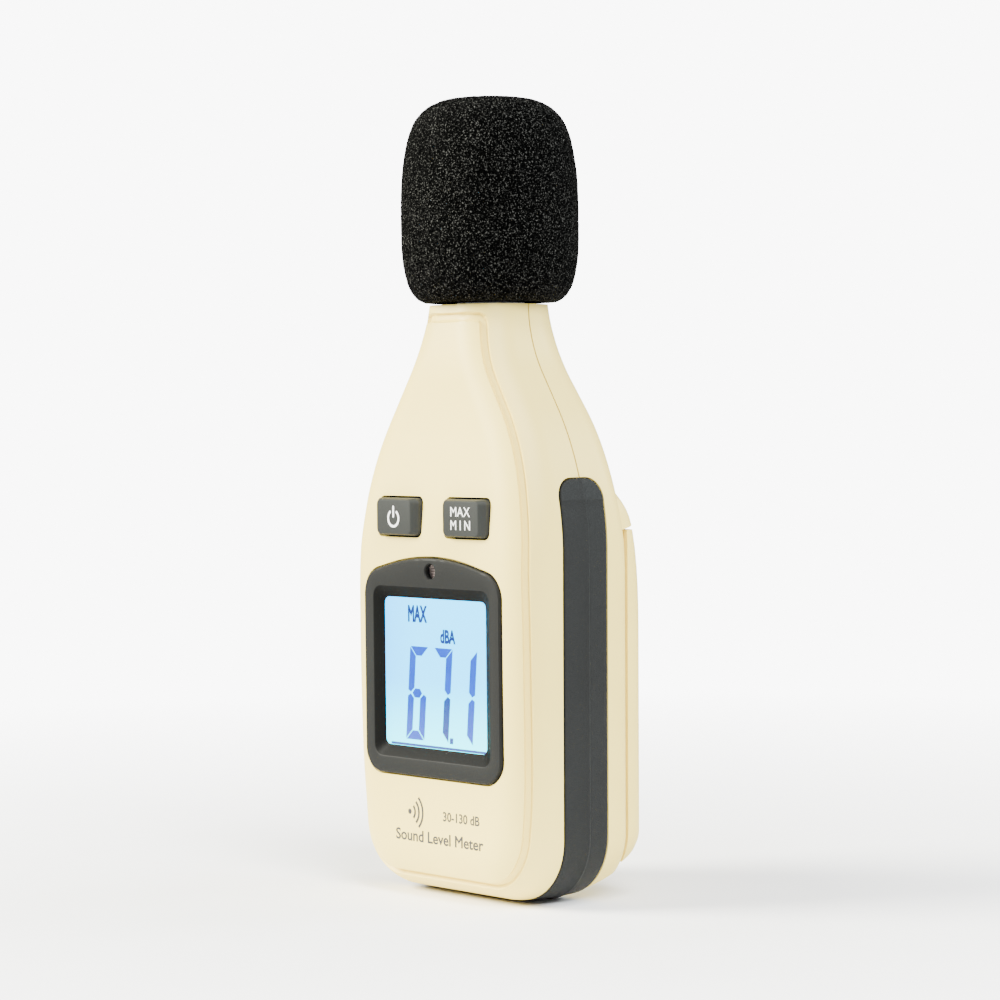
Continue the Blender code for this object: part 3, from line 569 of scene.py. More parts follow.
def math_node(tree, operation, a, b):
    made = tree.nodes.new("ShaderNodeMath")
    made.operation = operation
    for socket, value in zip(made.inputs, (a, b)):
        if isinstance(value, (int, float)):
            socket.default_value = value
        else:
            tree.links.new(value, socket)
    return made.outputs[0]


def noise_value(texture):
    return texture.outputs[0]


def grain_group():
    """Moulded texture: a fine height field, a broad colour drift and a worn-shine mask."""
    tree, source, result = new_group(
        "moulded_grain",
        [
            ("Vector", "NodeSocketVector", None), ("Scale", "NodeSocketFloat", 2500.0),
            ("Drift", "NodeSocketFloat", 40.0),
        ],
        [("Height", "NodeSocketFloat"), ("Tint", "NodeSocketFloat"), ("Shine", "NodeSocketFloat")],
    )
    fine = node(tree, "TexNoise", Detail=3.0, Roughness=0.6)
    cells = node(tree, "TexVoronoi")
    broad = node(tree, "TexNoise", Detail=2.0)
    for item, scale in ((fine, "Scale"), (cells, "Scale"), (broad, "Drift")):
        feed(item, "Vector", source.outputs["Vector"])
        feed(item, "Scale", source.outputs[scale])
    dimples = math_node(tree, "MULTIPLY", cells.outputs["Distance"], 0.6)
    height = math_node(tree, "ADD", noise_value(fine), dimples)
    feed(result, "Height", height)
    feed(result, "Tint", noise_value(broad))
    feed(result, "Shine", math_node(tree, "MULTIPLY", noise_value(broad), height))
    return tree


def brushed_group():
    """Fine scratches round the Z axis."""
    tree, source, result = new_group(
        "brushed_metal",
        [("Vector", "NodeSocketVector", None), ("Stretch", "NodeSocketVector", (300.0, 300.0, 9000.0))],
        [("Height", "NodeSocketFloat"), ("Rough", "NodeSocketFloat")],
    )
    scale = tree.nodes.new("ShaderNodeVectorMath")
    scale.operation = "MULTIPLY"
    feed(scale, 0, source.outputs["Vector"])
    feed(scale, 1, source.outputs["Stretch"])
    lines = node(tree, "TexNoise", Scale=1.0, Detail=4.0)
    feed(lines, "Vector", scale.outputs[0])
    feed(result, "Height", noise_value(lines))
    feed(result, "Rough", math_node(tree, "ADD", math_node(tree, "MULTIPLY", noise_value(lines), 0.25), 0.15))
    return tree


GRAIN = grain_group()
BRUSHED = brushed_group()


def start_material(name):
    material = bpy.data.materials.new(name)
    material.use_nodes = True
    tree = material.node_tree
    shader = tree.nodes["Principled BSDF"]
    coords = tree.nodes.new("ShaderNodeTexCoord")
    return material, tree, shader, coords.outputs["Object"]


def use_group(tree, group, vector):
    made = tree.nodes.new("ShaderNodeGroup")
    made.node_tree = group
    feed(made, "Vector", vector)
    return made


def ramp_colour(tree, value, low, high, start=0.3, end=0.7):
    ramp = tree.nodes.new("ShaderNodeValToRGB")
    ramp.color_ramp.elements[0].color = (*low, 1)
    ramp.color_ramp.elements[1].color = (*high, 1)
    ramp.color_ramp.elements[0].position = start
    ramp.color_ramp.elements[1].position = end
    feed(ramp, "Fac", value)
    return ramp.outputs["Color"]


def ramp_value(tree, value, low, high, start=0.3, end=0.7):
    made = node(tree, "MapRange", From_Min=start, From_Max=end, To_Min=low, To_Max=high)
    feed(made, "Value", value)
    return made.outputs["Result"]


def bump(tree, shader, height, strength, distance):
    made = node(tree, "Bump", Strength=strength, Distance=distance)
    feed(made, "Height", height)
    feed(shader, "Normal", made.outputs["Normal"])


def moulded(name, low, high, rough, grain, relief, strength=0.5, **sockets):
    """Plastic or rubber: two close colours, a roughness range, and grain of a size and depth in metres."""
    material, tree, shader, coords = start_material(name)
    group = fix(use_group(tree, GRAIN, coords), Scale=1 / grain)
    feed(shader, "Base Color", ramp_colour(tree, group.outputs["Tint"], low, high))
    feed(shader, "Roughness", ramp_value(tree, group.outputs["Shine"], *rough, 0.1, 0.6))
    bump(tree, shader, group.outputs["Height"], strength, relief)
    fix(shader, **sockets)
    return material


def metal(name, colour, stretch=(300.0, 300.0, 9000.0)):
    material, tree, shader, coords = start_material(name)
    group = fix(use_group(tree, BRUSHED, coords), Stretch=stretch)
    dim = tuple(0.8 * c for c in colour)
    feed(shader, "Base Color", ramp_colour(tree, group.outputs["Height"], dim, colour))
    feed(shader, "Roughness", group.outputs["Rough"])
    bump(tree, shader, group.outputs["Height"], 0.2, 0.00002)
    fix(shader, Metallic=1.0)
    return material


def lit_panel():
    """Backlit display: pale cyan, deeper at the left and brighter near the bottom middle."""
    material, tree, shader, coords = start_material("lit_panel")
    low, high = span("display_window")
    parts = node(tree, "SeparateXYZ")
    feed(parts, 0, coords)
    across = ramp_value(tree, parts.outputs["X"], 0.0, 1.0, low.x * MM, low.x * MM + 0.009)
    up = ramp_value(tree, parts.outputs["Z"], 0.0, 1.0, low.z * MM, high.z * MM)
    edge = ramp_colour(tree, across, (0.0, 0.26, 0.72), (0.0, 0.42, 0.80), 0.0, 1.0)
    glow = ramp_colour(tree, up, (0.0, 1.0, 0.90), (0.0, 0.42, 0.80), 0.0, 0.45)
    mix = node(tree, "Mix")
    mix.data_type = "RGBA"
    fix(mix, Factor=0.55)
    feed(mix, "A", edge)
    feed(mix, "B", glow)
    feed(shader, "Emission Color", mix.outputs["Result"])
    fix(shader, Emission_Strength=11.5, Base_Color=(0.001, 0.003, 0.005, 1))
    fix(shader, Specular_IOR_Level=0.0, Roughness=0.35)
    return material


def lit_ink(name, low, high, strength):
    """Display segments, which the backlight shines through."""
    material, tree, shader, coords = start_material(name)
    group = fix(use_group(tree, GRAIN, coords), Drift=250.0)
    feed(shader, "Emission Color", ramp_colour(tree, group.outputs["Tint"], low, high))
    fix(shader, Emission_Strength=strength, Base_Color=(0.0, 0.001, 0.003, 1), Specular_IOR_Level=0.0)
    return material


def clear_pane():
    material, tree, shader, coords = start_material("clear_pane")
    group = use_group(tree, GRAIN, coords)
    feed(shader, "Roughness", ramp_value(tree, group.outputs["Tint"], 0.0, 0.03))
    fix(shader, Transmission_Weight=1.0, IOR=1.45)
    return material


def foam_material():
    """Open-cell foam: dark pores and faintly bright struts, as painted shade and painted glints in the base
    colour.
    """
    material, tree, shader, coords = start_material("open_cell_foam")
    cells = node(tree, "TexVoronoi", Scale=1150.0)
    struts = node(tree, "TexVoronoi", Scale=2600.0)
    for item in (cells, struts):
        item.feature = "DISTANCE_TO_EDGE" if item is cells else "F1"
        feed(item, "Vector", coords)
    pore = cells.outputs["Distance"]
    specks = node(tree, "TexNoise", Scale=3800.0, Detail=2.0)
    feed(specks, "Vector", coords)
    # Painted light in the base colour: bright specks stand in for glints on the struts, and the pores are
    # darkened as painted shade.
    glint_field = math_node(tree, "SUBTRACT", noise_value(specks), math_node(tree, "MULTIPLY", pore, 0.35))
    painted_strut_glints = ramp_colour(tree, glint_field, (0.0001, 0.0001, 0.0001), (0.055, 0.055, 0.051), 0.525, 0.68)
    feed(shader, "Base Color", painted_strut_glints)
    feed(shader, "Roughness", ramp_value(tree, struts.outputs["Distance"], 0.38, 0.9, 0.1, 0.5))
    height = math_node(tree, "SUBTRACT", math_node(tree, "MULTIPLY", struts.outputs["Distance"], 0.4), pore)
    bump(tree, shader, height, 0.9, 0.0004)
    fix(shader, Specular_IOR_Level=0.015)
    return material


def cell_jacket():
    """Battery jacket: dark body with a copper-coloured band at the positive end of an upright cell."""
    material, tree, shader, coords = start_material("cell_jacket")
    parts = node(tree, "SeparateXYZ")
    feed(parts, 0, coords)
    middle = math_node(tree, "LESS_THAN", math_node(tree, "ABSOLUTE", parts.outputs["X"], 0.0), 5.5 * MM)
    upper = math_node(tree, "GREATER_THAN", parts.outputs["Z"], 50.0 * MM)
    lower = math_node(tree, "LESS_THAN", parts.outputs["Z"], 25.0 * MM)
    mix = node(tree, "Mix")
    feed(mix, "Factor", middle)
    feed(mix, "A", upper)
    feed(mix, "B", lower)
    jacket = ramp_colour(tree, mix.outputs["Result"], (0.012, 0.02, 0.05), (0.75, 0.42, 0.2), 0.45, 0.55)
    feed(shader, "Base Color", jacket)
    group = use_group(tree, GRAIN, coords)
    feed(shader, "Roughness", ramp_value(tree, group.outputs["Tint"], 0.22, 0.34))
    bump(tree, shader, group.outputs["Height"], 0.1, 0.00002)
    fix(shader, Metallic=0.6)
    return material


CREAM = moulded("cream_case", (0.86, 0.67, 0.16), (0.89, 0.70, 0.175), (0.4, 0.55), 0.00028, 0.00002, 0.35)
RUBBER = moulded(
    "grip_rubber", (0.0075, 0.0082, 0.0081), (0.0105, 0.0115, 0.0114), (0.42, 0.7), 0.00026, 0.00008, 0.95,
    Specular_IOR_Level=0.15,
)
DARK = moulded(
    "bezel_plastic", (0.0068, 0.0072, 0.0068), (0.0084, 0.0088, 0.0083), (0.45, 0.6), 0.0003, 0.00004,
    Specular_IOR_Level=0.12,
)
# Darker copy of the bezel plastic: painted shade for the sloping inner walls of the window recess.
BEZEL_WALL_SHADE = moulded(
    "bezel_wall_painted_shade", (0.0026, 0.0028, 0.0026), (0.0036, 0.0038, 0.0035), (0.5, 0.65), 0.0003, 0.00003,
    Specular_IOR_Level=0.05,
)
KEY = moulded(
    "key_plastic", (0.019, 0.0205, 0.019), (0.022, 0.0235, 0.022), (0.45, 0.6), 0.00035, 0.00002,
    Specular_IOR_Level=0.15,
)
BLACK = moulded("black_plastic", (0.012, 0.012, 0.012), (0.02, 0.02, 0.021), (0.35, 0.5), 0.0004, 0.00003)
SOFT_BLACK = moulded("black_rubber", (0.012, 0.012, 0.012), (0.02, 0.02, 0.02), (0.7, 0.9), 0.0004, 0.00004)
WHITE = moulded("white_plastic", (0.78, 0.78, 0.77), (0.84, 0.84, 0.83), (0.3, 0.42), 0.0005, 0.00002)
PRINT = moulded("white_print", (0.78, 0.79, 0.78), (0.86, 0.86, 0.85), (0.45, 0.6), 0.0002, 0.00001)
GREY_PRINT = moulded(
    "grey_print", (0.02, 0.019, 0.017), (0.028, 0.0265, 0.0235), (0.4, 0.55), 0.0002, 0.00001,
)
BLUE = moulded("blue_plastic", (0.03, 0.11, 0.5), (0.05, 0.15, 0.6), (0.3, 0.4), 0.0004, 0.00002)
RED = moulded("red_insulation", (0.5, 0.015, 0.015), (0.62, 0.03, 0.03), (0.35, 0.5), 0.0004, 0.00002)
BOARD = moulded("board_laminate", (0.012, 0.11, 0.045), (0.02, 0.16, 0.065), (0.2, 0.4), 0.0006, 0.00003)
CERAMIC = moulded("sensor_ceramic", (0.3, 0.25, 0.23), (0.36, 0.3, 0.28), (0.3, 0.45), 0.0003, 0.00003)
TRACK = moulded("sensor_track", (0.05, 0.03, 0.03), (0.09, 0.05, 0.045), (0.4, 0.6), 0.0002, 0.00002)
STEEL = metal("plated_steel", (0.62, 0.61, 0.58))
MIC_METAL = metal("mic_metal", (0.5, 0.5, 0.51), (500.0, 500.0, 14000.0))
PANEL = lit_panel()
INK = lit_ink("display_ink", (0.0, 0.09, 0.85), (0.0, 0.12, 1.0), 2.6)
DIM_INK = lit_ink("display_ink_dim", (0.0, 0.04, 0.32), (0.0, 0.05, 0.4), 2.4)
DEEP_INK = lit_ink("display_ink_deep", (0.0, 0.12, 0.8), (0.0, 0.15, 0.9), 1.5)
PANE = clear_pane()
FOAM = foam_material()
JACKET = cell_jacket()

FINISH = {
    "case_plastic": CREAM, "grip_rubber": RUBBER, "bezel_plastic": DARK, "window_clear": PANE,
    "lcd_panel": PANEL, "white_plastic": WHITE, "black_rubber": SOFT_BLACK, "sensor_ceramic": CERAMIC,
    "key_plastic": KEY, "black_plastic": BLACK, "board_laminate": BOARD, "plated_steel": STEEL,
    "blue_plastic": BLUE, "cell_jacket": JACKET, "red_wire": RED, "mic_metal": MIC_METAL, "foam": FOAM,
}
for name, obj in NODES.items():
    obj.data.materials.clear()
    obj.data.materials.append(FINISH[SLOTS[name]])


# ---- Case ------------------------------------------------------------------------------------------


def bezel_outline(grow=0.0):
    low, high = span("display_bezel")
    half, bottom, crest = high.x + grow, low.z - grow, high.z + grow + 1.5
    shoulder = high.z - 3.2 + grow
    return fillet((
        (-half, bottom, 4.5 + grow), (half, bottom, 4.5 + grow), (half, shoulder, 5.0 + grow),
        (0.0, crest, 50.0), (-half, shoulder, 5.0 + grow),
    ), steps=12)


def window_outline(grow, radius):
    low, high = span("display_window")
    half_height = (high.z - low.z) / 2 - PANE_MARGIN_Z
    return rectangle(0, (low.z + high.z) / 2, high.x - PANE_MARGIN_X + grow, half_height + grow, radius)


def key_size(name):
    """Middle of a key across and up, and half the width and height of its cap inside the flange."""
    low, high = span(name)
    middle, half = (low + high) / 2, (high - low) / 2
    return middle.x, middle.z, half.x - FLANGE_WIDE, half.z - FLANGE_TALL


def microphone_hole():
    return rod((0, 0), MIC_RADIUS + GAP, 90, 120, axis="Z", sides=64)


def front_case():
    seat = span("display_bezel")[1].y + GAP
    openings = [
        slab(window_outline(1.4, 1.0), *THROUGH_FRONT),
        rod((0, middle_of("light_sensor").z), 2.6, *THROUGH_FRONT),
    ]
    for name in ("power_button", "max_min_button"):
        x, z, half, tall = key_size(name)
        hole = rectangle(x, z, half + KEY_GAP, tall + KEY_GAP, KEY_RADIUS + 0.2)
        openings.append(slab(hole, *THROUGH_FRONT))
    inside = half_case(-1, FRONT_DEPTH, FRONT_EDGE, 2.0, inset=WALL, thinner=WALL, stations=COARSE, flat=2)
    bosses = [rod(c, 2.5, -11.2, -0.8) for c in CASE_SCREWS]
    bosses += [rod((x, z), 2.2, -eased(FRONT_DEPTH, z) + 1.2, -7.4) for x, z in BOARD_POSTS]
    threads = [rod(c, 1.3, -10.2, 1.0, sides=24) for c in CASE_SCREWS]
    threads += [rod(c, 1.0, -11.2, 1.0, sides=24) for c in BOARD_POSTS]
    shell = carved(half_case(-1, FRONT_DEPTH, FRONT_EDGE, -GAP / 2, grooved=True), [
        ("DIFFERENCE", trim(inside, (0, 0, NECK_TOP - WALL), (0, 0, 1))),
        ("DIFFERENCE", band(RECESS, grow=GAP)),
        ("DIFFERENCE", slab(bezel_outline(GAP), THROUGH_FRONT[0], seat)),
        ("DIFFERENCE", gathered(openings)),
        ("UNION", gathered(bosses)),
        ("DIFFERENCE", gathered(threads)),
        ("DIFFERENCE", microphone_hole()),
    ])
    stand_in("front_shell", shell, CREAM, angle=28)


def rear_case():
    cover_top = span("battery_cover")[1].z
    bump_top = half_case(1, BOX_DEPTH, BOX_EDGE, BACK_PLANE - 2.6, inset=BOX_INSET)
    trim(bump_top, (0, 0, 80.0), (0, 0, 1))
    trim(bump_top, (0, BACK_PLANE, cover_top + GAP), (0, 0.2, -1))
    inside = half_case(1, BACK_DEPTH, BACK_EDGE, -2.0, inset=WALL, thinner=WALL, stations=COARSE, flat=2)
    trim(inside, (0, 0, NECK_TOP - WALL), (0, 0, 1))
    bay_low, bay_high, bay_half, floor = 11.5, 63.0, 17.4, 3.4
    thick = 1.2
    walls = box(
        (-bay_half - thick, floor - thick, bay_low - thick),
        (bay_half + thick, BACK_PLANE - 0.4, bay_high + thick),
    )
    slots = [box((x - 3.0, 9.0, 4.0), (x + 3.0, 14.0, 8.4)) for x in (-11.0, 11.0)]
    slots.append(box((-5.6, 8.0, 65.0), (5.6, 14.0, 68.0)))
    slots += [
        box((x - 1.6, 1.5, z - 0.2), (x + 1.6, 4.0, z + 1.6))
        for x, z in ((-11.0, bay_low), (11.0, bay_high - 1.4))
    ]
    shell = carved(chamfered(half_case(1, BACK_DEPTH, BACK_EDGE, GAP / 2)), [
        ("UNION", bump_top),
        ("DIFFERENCE", chamfered(inside, WALL)),
        ("DIFFERENCE", band(RECESS, grow=GAP)),
        ("UNION", walls),
        ("UNION", gathered([rod(c, 3.0, 0.5, BACK_PLANE - 0.5) for c in CASE_SCREWS])),
        ("DIFFERENCE", box((-bay_half, floor, bay_low), (bay_half, 14, bay_high))),
        ("DIFFERENCE", gathered([rod(c, 2.3, 8.2, 14) for c in CASE_SCREWS])),
        ("DIFFERENCE", gathered([rod(c, 1.35, -1, 10, sides=24) for c in CASE_SCREWS])),
        ("DIFFERENCE", gathered(slots)),
        ("DIFFERENCE", microphone_hole()),
    ])
    stand_in("rear_shell", shell, CREAM, angle=28)


def battery_lid():
    top = span("battery_cover")[1].z
    outer = chamfered(half_case(1, BOX_DEPTH, BOX_EDGE, BACK_PLANE + GAP, inset=BOX_INSET))
    trim(outer, (0, 0, top), (0, 0, 1))
    inside = half_case(
        1, BOX_DEPTH, BOX_EDGE, 5.0, inset=BOX_INSET + COVER_WALL, thinner=COVER_WALL, stations=COARSE,
        flat=2,
    )
    trim(inside, (0, 0, top - COVER_WALL), (0, 0, 1))
    arms = [chamfered(box((x - 2.2, 10.2, 6.5), (x + 2.2, 12.6, 7.5))) for x in (-11.0, 11.0)]
    arms.append(box((-5.0, 9.8, 66.0), (5.0, 12.6, 67.4)))
    knuckles = [rod((10.2, 6.9), 0.8, x - 2.5, x + 2.5, axis="X", sides=32) for x in (-11.0, 11.0)]
    lid = carved(outer, [
        ("DIFFERENCE", chamfered(inside, COVER_WALL)),
        ("UNION", gathered(arms)),
        ("UNION", gathered(knuckles)),
    ])
    stand_in("battery_cover", lid, CREAM, angle=28)


def grip():
    stand_in("grip_band", band(BAND_SECTION), RUBBER, angle=14)


# ---- Display ---------------------------------------------------------------------------------------


def bezel():
    """Arched frame: rounded outer edge, flat face and sloping inner walls, closed round the back."""
    low, high = span("display_bezel")
    face, back = low.y, high.y
    centre = Vector((0.0, (low.z + high.z) / 2 - 1.0))
    rings = [
        (bezel_outline(), back), (bezel_outline(), face + 0.45), (bezel_outline(-0.08), face + 0.18),
        (bezel_outline(-0.25), face + 0.03), (bezel_outline(-0.45), face),
        (window_outline(BEZEL_SLOPE, 2.2), face), (window_outline(2.1, 2.1), face + 0.05),
        (window_outline(1.95, 2.0), face + 0.16), (window_outline(0.1, 1.3), back - 0.12),
        (window_outline(0.0, 1.2), back),
    ]
    rows = [[Vector((p.x, y, p.y)) for p in evenly(outline, centre)] for outline, y in rings]
    bm = bmesh.new()
    sweep(bm, rows + rows[:1], closed=True)
    outward(merged(bm, 0.001))
    flare = turned(((0, 0.0), (1.42, 0.0), (1.42, 4.0), (1.62, 4.25), (1.62, 6.0), (0, 6.0)), 48)
    moved(rotated(flare, 90, "X"), (0, face + 4.2, middle_of("light_sensor").z))
    frame_piece = stand_in("display_bezel", carved(bm, [("DIFFERENCE", flare)]), DARK, angle=30)
    # The sloping inner walls round the window take the darker copy of the plastic, as painted shade in the
    # recess.
    frame_piece.data.materials.append(BEZEL_WALL_SHADE)
    window_low, window_high = span("display_window")
    middle = (window_low + window_high) / 2
    reach = window_high - middle + Vector((BEZEL_SLOPE - PANE_MARGIN_X, 0, BEZEL_SLOPE - PANE_MARGIN_Z))
    for face in frame_piece.data.polygons:
        away = face.center / MM - middle
        if abs(away.x) < reach.x and abs(away.z) < reach.z and face.normal.y > -0.95:
            face.material_index = 1


def pane():
    low, high = span("display_window")
    middle = (low + high) / 2
    stand_in("display_window", slab(
        rectangle(0, middle.z, high.x, (high.z - low.z) / 2, 0.8), low.y, high.y), PANE)


def lettering(name, words, low, high, y, material, body, thick=0.03, weight=0.0):
    """Words made solid, fitted to a rectangle between two (x, z) corners, facing -Y."""
    curve = bpy.data.curves.new(name, "FONT")
    curve.body = words
    curve.extrude = 0.01
    curve.bevel_depth = weight
    curve.bevel_resolution = 0
    curve.resolution_u = 4
    obj = new_object(name, curve)
    bpy.context.view_layer.update()
    mesh = bpy.data.meshes.new_from_object(obj.evaluated_get(bpy.context.evaluated_depsgraph_get()))
    bpy.data.objects.remove(obj)
    bm = merged(to_bmesh(mesh), 1e-5)
    left, right = min(v.co.x for v in bm.verts), max(v.co.x for v in bm.verts)
    bottom, top = min(v.co.y for v in bm.verts), max(v.co.y for v in bm.verts)
    for vert in bm.verts:
        across, up = (vert.co.x - left) / (right - left), (vert.co.y - bottom) / (top - bottom)
        depth = thick if vert.co.z < 0 else 0
        vert.co = (low[0] + across * (high[0] - low[0]), y + depth, low[1] + up * (high[1] - low[1]))
    outward(bm)
    return place(name, bm, material, body)


def segment_shapes(width, height, stroke, gap):
    """Outlines of the seven bars of a digit, by letter, in the digit's own corner."""
    middle, inner = height / 2, width - stroke
    top = (
        (gap, height), (width - gap, height), (inner - gap, height - stroke), (stroke + gap, height - stroke),
    )
    right = (
        (width, height - gap), (width, middle + gap + stroke * 0.25), (width - stroke * 0.45, middle + gap),
        (inner, middle + gap + stroke * 0.5), (inner, height - stroke - gap),
    )

    def flip(shape, across=False, over=False):
        return tuple((width - x if across else x, height - z if over else z) for x, z in shape)

    bar = (
        (stroke * 0.65 + gap, middle), (stroke + gap * 1.5, middle + stroke / 2),
        (inner - gap * 1.5, middle + stroke / 2), (width - stroke * 0.65 - gap, middle),
        (inner - gap * 1.5, middle - stroke / 2), (stroke + gap * 1.5, middle - stroke / 2),
    )
    return {
        "a": top, "b": right, "c": flip(right, over=True), "d": flip(top, over=True),
        "e": flip(right, True, True), "f": flip(right, True), "g": bar,
    }


def display():
    low, high = span("lcd_glass")
    front = low.y
    sheet = slab(rectangle(0, (low.z + high.z) / 2, high.x, (high.z - low.z) / 2, 1.2), front, high.y)
    stand_in("lcd_glass", sheet, PANEL)
    y = front - 0.08
    base, tall, wide, pitch, left = 29.15, 17.5, 5.25, 6.85, -9.95
    lean = math.tan(math.radians(5))
    shapes = segment_shapes(wide, tall, 1.7, 0.16)
    plain, deep = [], []
    for place_number, bars in enumerate(("acdefg", "abc", "bc")):
        for letter in bars:
            outline = [
                Vector((left + pitch * place_number + x + lean * z, base + z)) for x, z in shapes[letter]
            ]
            target = deep if (place_number, letter) == (1, "c") else plain
            target.append(slab(outline, y, y + 0.05))
    point = [Vector(corner) for corner in ((2.6, 29.05), (3.5, 29.05), (3.6, 30.15), (2.7, 30.15))]
    deep.append(slab(point, y, y + 0.05))
    place("display_digits", gathered(plain), INK, "case")
    place("display_digits_deep", gathered(deep), DEEP_INK, "case")
    for name, words, start, end in (
        ("display_max", "MAX", (-9.0, 51.15), (-3.5, 54.35)),
        ("display_unit", "dBA", (0.2, 47.55), (4.5, 50.15)),
    ):
        lettering(name, words, start, end, y, DIM_INK, "case", weight=0.04)
    glow = box((-14.2, y - 0.02, 27.9), (14.2, y + 0.03, 28.35))
    place("display_edge_glow", glow, DEEP_INK, "case")


def light_sensor():
    low, high = span("light_sensor")
    z = (low.z + high.z) / 2
    disc = turned(((0.0, 0.0), (1.9, 0.0), (2.1, 0.2), (2.1, 1.7), (0.0, 1.7)), 48)
    moved(rotated(disc, -90, "X"), (0, low.y, z))
    legs = [rod((x, z), 0.25, low.y + 1.5, high.y, sides=16) for x in (-1.3, 1.3)]
    stand_in("light_sensor", carved(disc, [("UNION", gathered(legs))]), CERAMIC)
    bars = []
    for k in range(5):
        height = z - 1.0 + 0.5 * k
        half = math.sqrt(1.25 ** 2 - (height - z) ** 2)
        bars.append(box((-half, low.y - 0.04, height - 0.09), (half, low.y + 0.02, height + 0.09)))
    place("light_sensor_track", gathered(bars), TRACK, "case")


# ---- Keys ------------------------------------------------------------------------------------------


def key(name):
    """A cap with a flat crown, rounded corners and sloping sides, on its flange."""
    low, high = span(name)
    x, z, half, tall = key_size(name)
    front, wall, root = low.y, low.y + KEY_CROWN, high.y - FLANGE_THICK
    rings = (
        (-FLANGE_WIDE, -FLANGE_TALL, 0.8, high.y), (-FLANGE_WIDE, -FLANGE_TALL, 0.8, root),
        (0.0, 0.0, KEY_RADIUS, root), (0.0, 0.0, KEY_RADIUS, wall + 0.15), (0.05, 0.02, KEY_RADIUS, wall),
        (0.16, 0.05, KEY_RADIUS, wall - 0.14), (1.05, 0.26, 1.0, front + 0.12),
        (1.2, 0.34, 0.9, front + 0.03), (1.38, 0.5, 0.8, front),
    )
    cap = stack([flat_ring(rectangle(x, z, half - a, tall - b, radius), y) for a, b, radius, y in rings])
    stand_in(name, cap, KEY, angle=25)
    return Vector((x, front, z))


def arc_strip(centre, radius, stroke, start, turn, steps, front, back):
    """Arc facing -Y, from a start angle through a turn in degrees. front and back are its depths."""
    rows = []
    for step in range(steps + 1):
        angle = math.radians(start + turn * step / steps)
        out = Vector((math.cos(angle), 0, math.sin(angle)))
        rows.append([
            centre + out * (radius + side * stroke) + Vector((0, depth, 0))
            for side, depth in ((-1, front), (1, front), (1, back), (-1, back))
        ])
    return stack(rows)


def power_mark(spot):
    """Ring open at the top, with a bar through the gap."""
    ring = arc_strip(spot + Vector((0, 0, -0.3)), 1.5, 0.22, 90 + 32, 360 - 64, 48, -0.04, 0.1)
    bar = slab(rectangle(spot.x, spot.z + 0.95, 0.22, 1.1, 0.18, 4), spot.y - 0.04, spot.y + 0.1)
    place("power_key_mark", gathered([ring, bar]), PRINT, "power_key")


def keys():
    power_mark(key("power_button"))
    spot = key("max_min_button")
    x, z, y = spot.x + 0.05, spot.z, spot.y - 0.03
    for name, word, middle in (("max_key_mark", "MAX", z + 1.25), ("min_key_mark", "M I N", z - 1.2)):
        low, high = (x - 2.7, middle - 0.87), (x + 2.7, middle + 0.87)
        lettering(name, word, low, high, y, PRINT, "max_min_key", thick=0.08)


def front_print():
    """Range and title under the display, with a small mark of sound arcs beside them."""
    y = -eased(FRONT_DEPTH, 20) - 0.02
    for name, words, low, high in (
        ("range_print", "30-130 dB", (2.6, 14.9), (12.8, 16.7)),
        ("title_print", "Sound Level Meter", (-11.0, 10.4), (13.8, 12.6)),
    ):
        lettering(name, words, low, high, y, GREY_PRINT, "case", weight=0.02)
    centre = Vector((-6.9, y, 15.9))
    arcs = [slab(rectangle(centre.x, centre.z, 0.5, 0.5, 0.45, 6), y, y + 0.03)]
    arcs += [arc_strip(centre, radius, 0.24, -48, 96, 24, 0.0, 0.03) for radius in (1.5, 2.6, 3.7)]
    place("sound_mark_print", gathered(arcs), GREY_PRINT, "case")


# ---- Microphone, windscreen and batteries ----------------------------------------------------------


def windscreen():
    low, high = span("windscreen")
    radius, bore = high.x, 6.7
    shape = (
        (0.0, high.z), (5.0, 148.9), (8.6, 148.4), (11.4, 147.2), (13.2, 145.6), (14.4, 143.8), (15.4, 141.0),
        (16.0, 138.0), (16.5, 134.0), (radius, 129.0), (radius, 122.0), (16.5, 118.8), (16.0, 115.8),
        (15.2, 113.3), (13.9, 111.5), (12.4, low.z),
    )
    outside = smooth_path(shape, 40)
    even, walked = [outside[0]], 0.0
    for a, b in zip(outside, outside[1:]):
        walked += math.dist(a, b)
        if walked >= 0.31:
            even.append(b)
            walked = 0.0
    inside = [(r, low.z) for r in (11.5, 10.0, 8.5, 7.2, bore)] + [(bore, z) for z in (113, 118, 123, 128.6)]
    bm = turned(even + inside + [(bore - 0.5, 129.0), (0.0, 129.0)], 340)
    for vert in bm.verts:
        if math.hypot(vert.co.x, vert.co.y) < bore + 0.3 and vert.co.z < 130:
            continue
        near = noise.voronoi(vert.co / PORE)[0]
        pore = 1 - soft_step(near[0] / 0.62)
        rough = 0.5 + 0.5 * noise.noise(vert.co / 0.5)
        vert.co -= vert.normal * (PORE_DEPTH * pore + ROUGH_DEPTH * rough)
    foam = stand_in("windscreen", bm, FOAM, angle=180)


def microphone():
    low, high = span("mic_tube")
    outer, bore, foot = MIC_RADIUS, 5.6, high.x
    tube = turned((
        (outer - 0.12, high.z), (outer, high.z - 0.12), (outer, 107.9), (foot, 107.9), (foot, low.z),
        (bore, low.z), (bore, high.z - 0.1), (bore + 0.1, high.z),
    ), 96)
    stand_in("mic_tube", tube, MIC_METAL)
    low, high = span("mic_grid")
    grid = turned((
        (0.0, high.z), (5.5, high.z), (5.9, high.z - 0.1), (6.2, high.z - 0.4), (outer, high.z - 0.8),
        (outer, low.z), (5.3, low.z), (5.3, high.z - 0.9), (0.0, high.z - 0.9),
    ), 96)
    spots = [(0.0, 0.0)]
    spots += [(3.1 * math.cos(math.radians(60 * k)), 3.1 * math.sin(math.radians(60 * k))) for k in range(6)]
    holes = gathered([rod(spot, 0.9, 120, 130, axis="Z", sides=32) for spot in spots])
    stand_in("mic_grid", carved(grid, [("DIFFERENCE", holes)]), MIC_METAL)


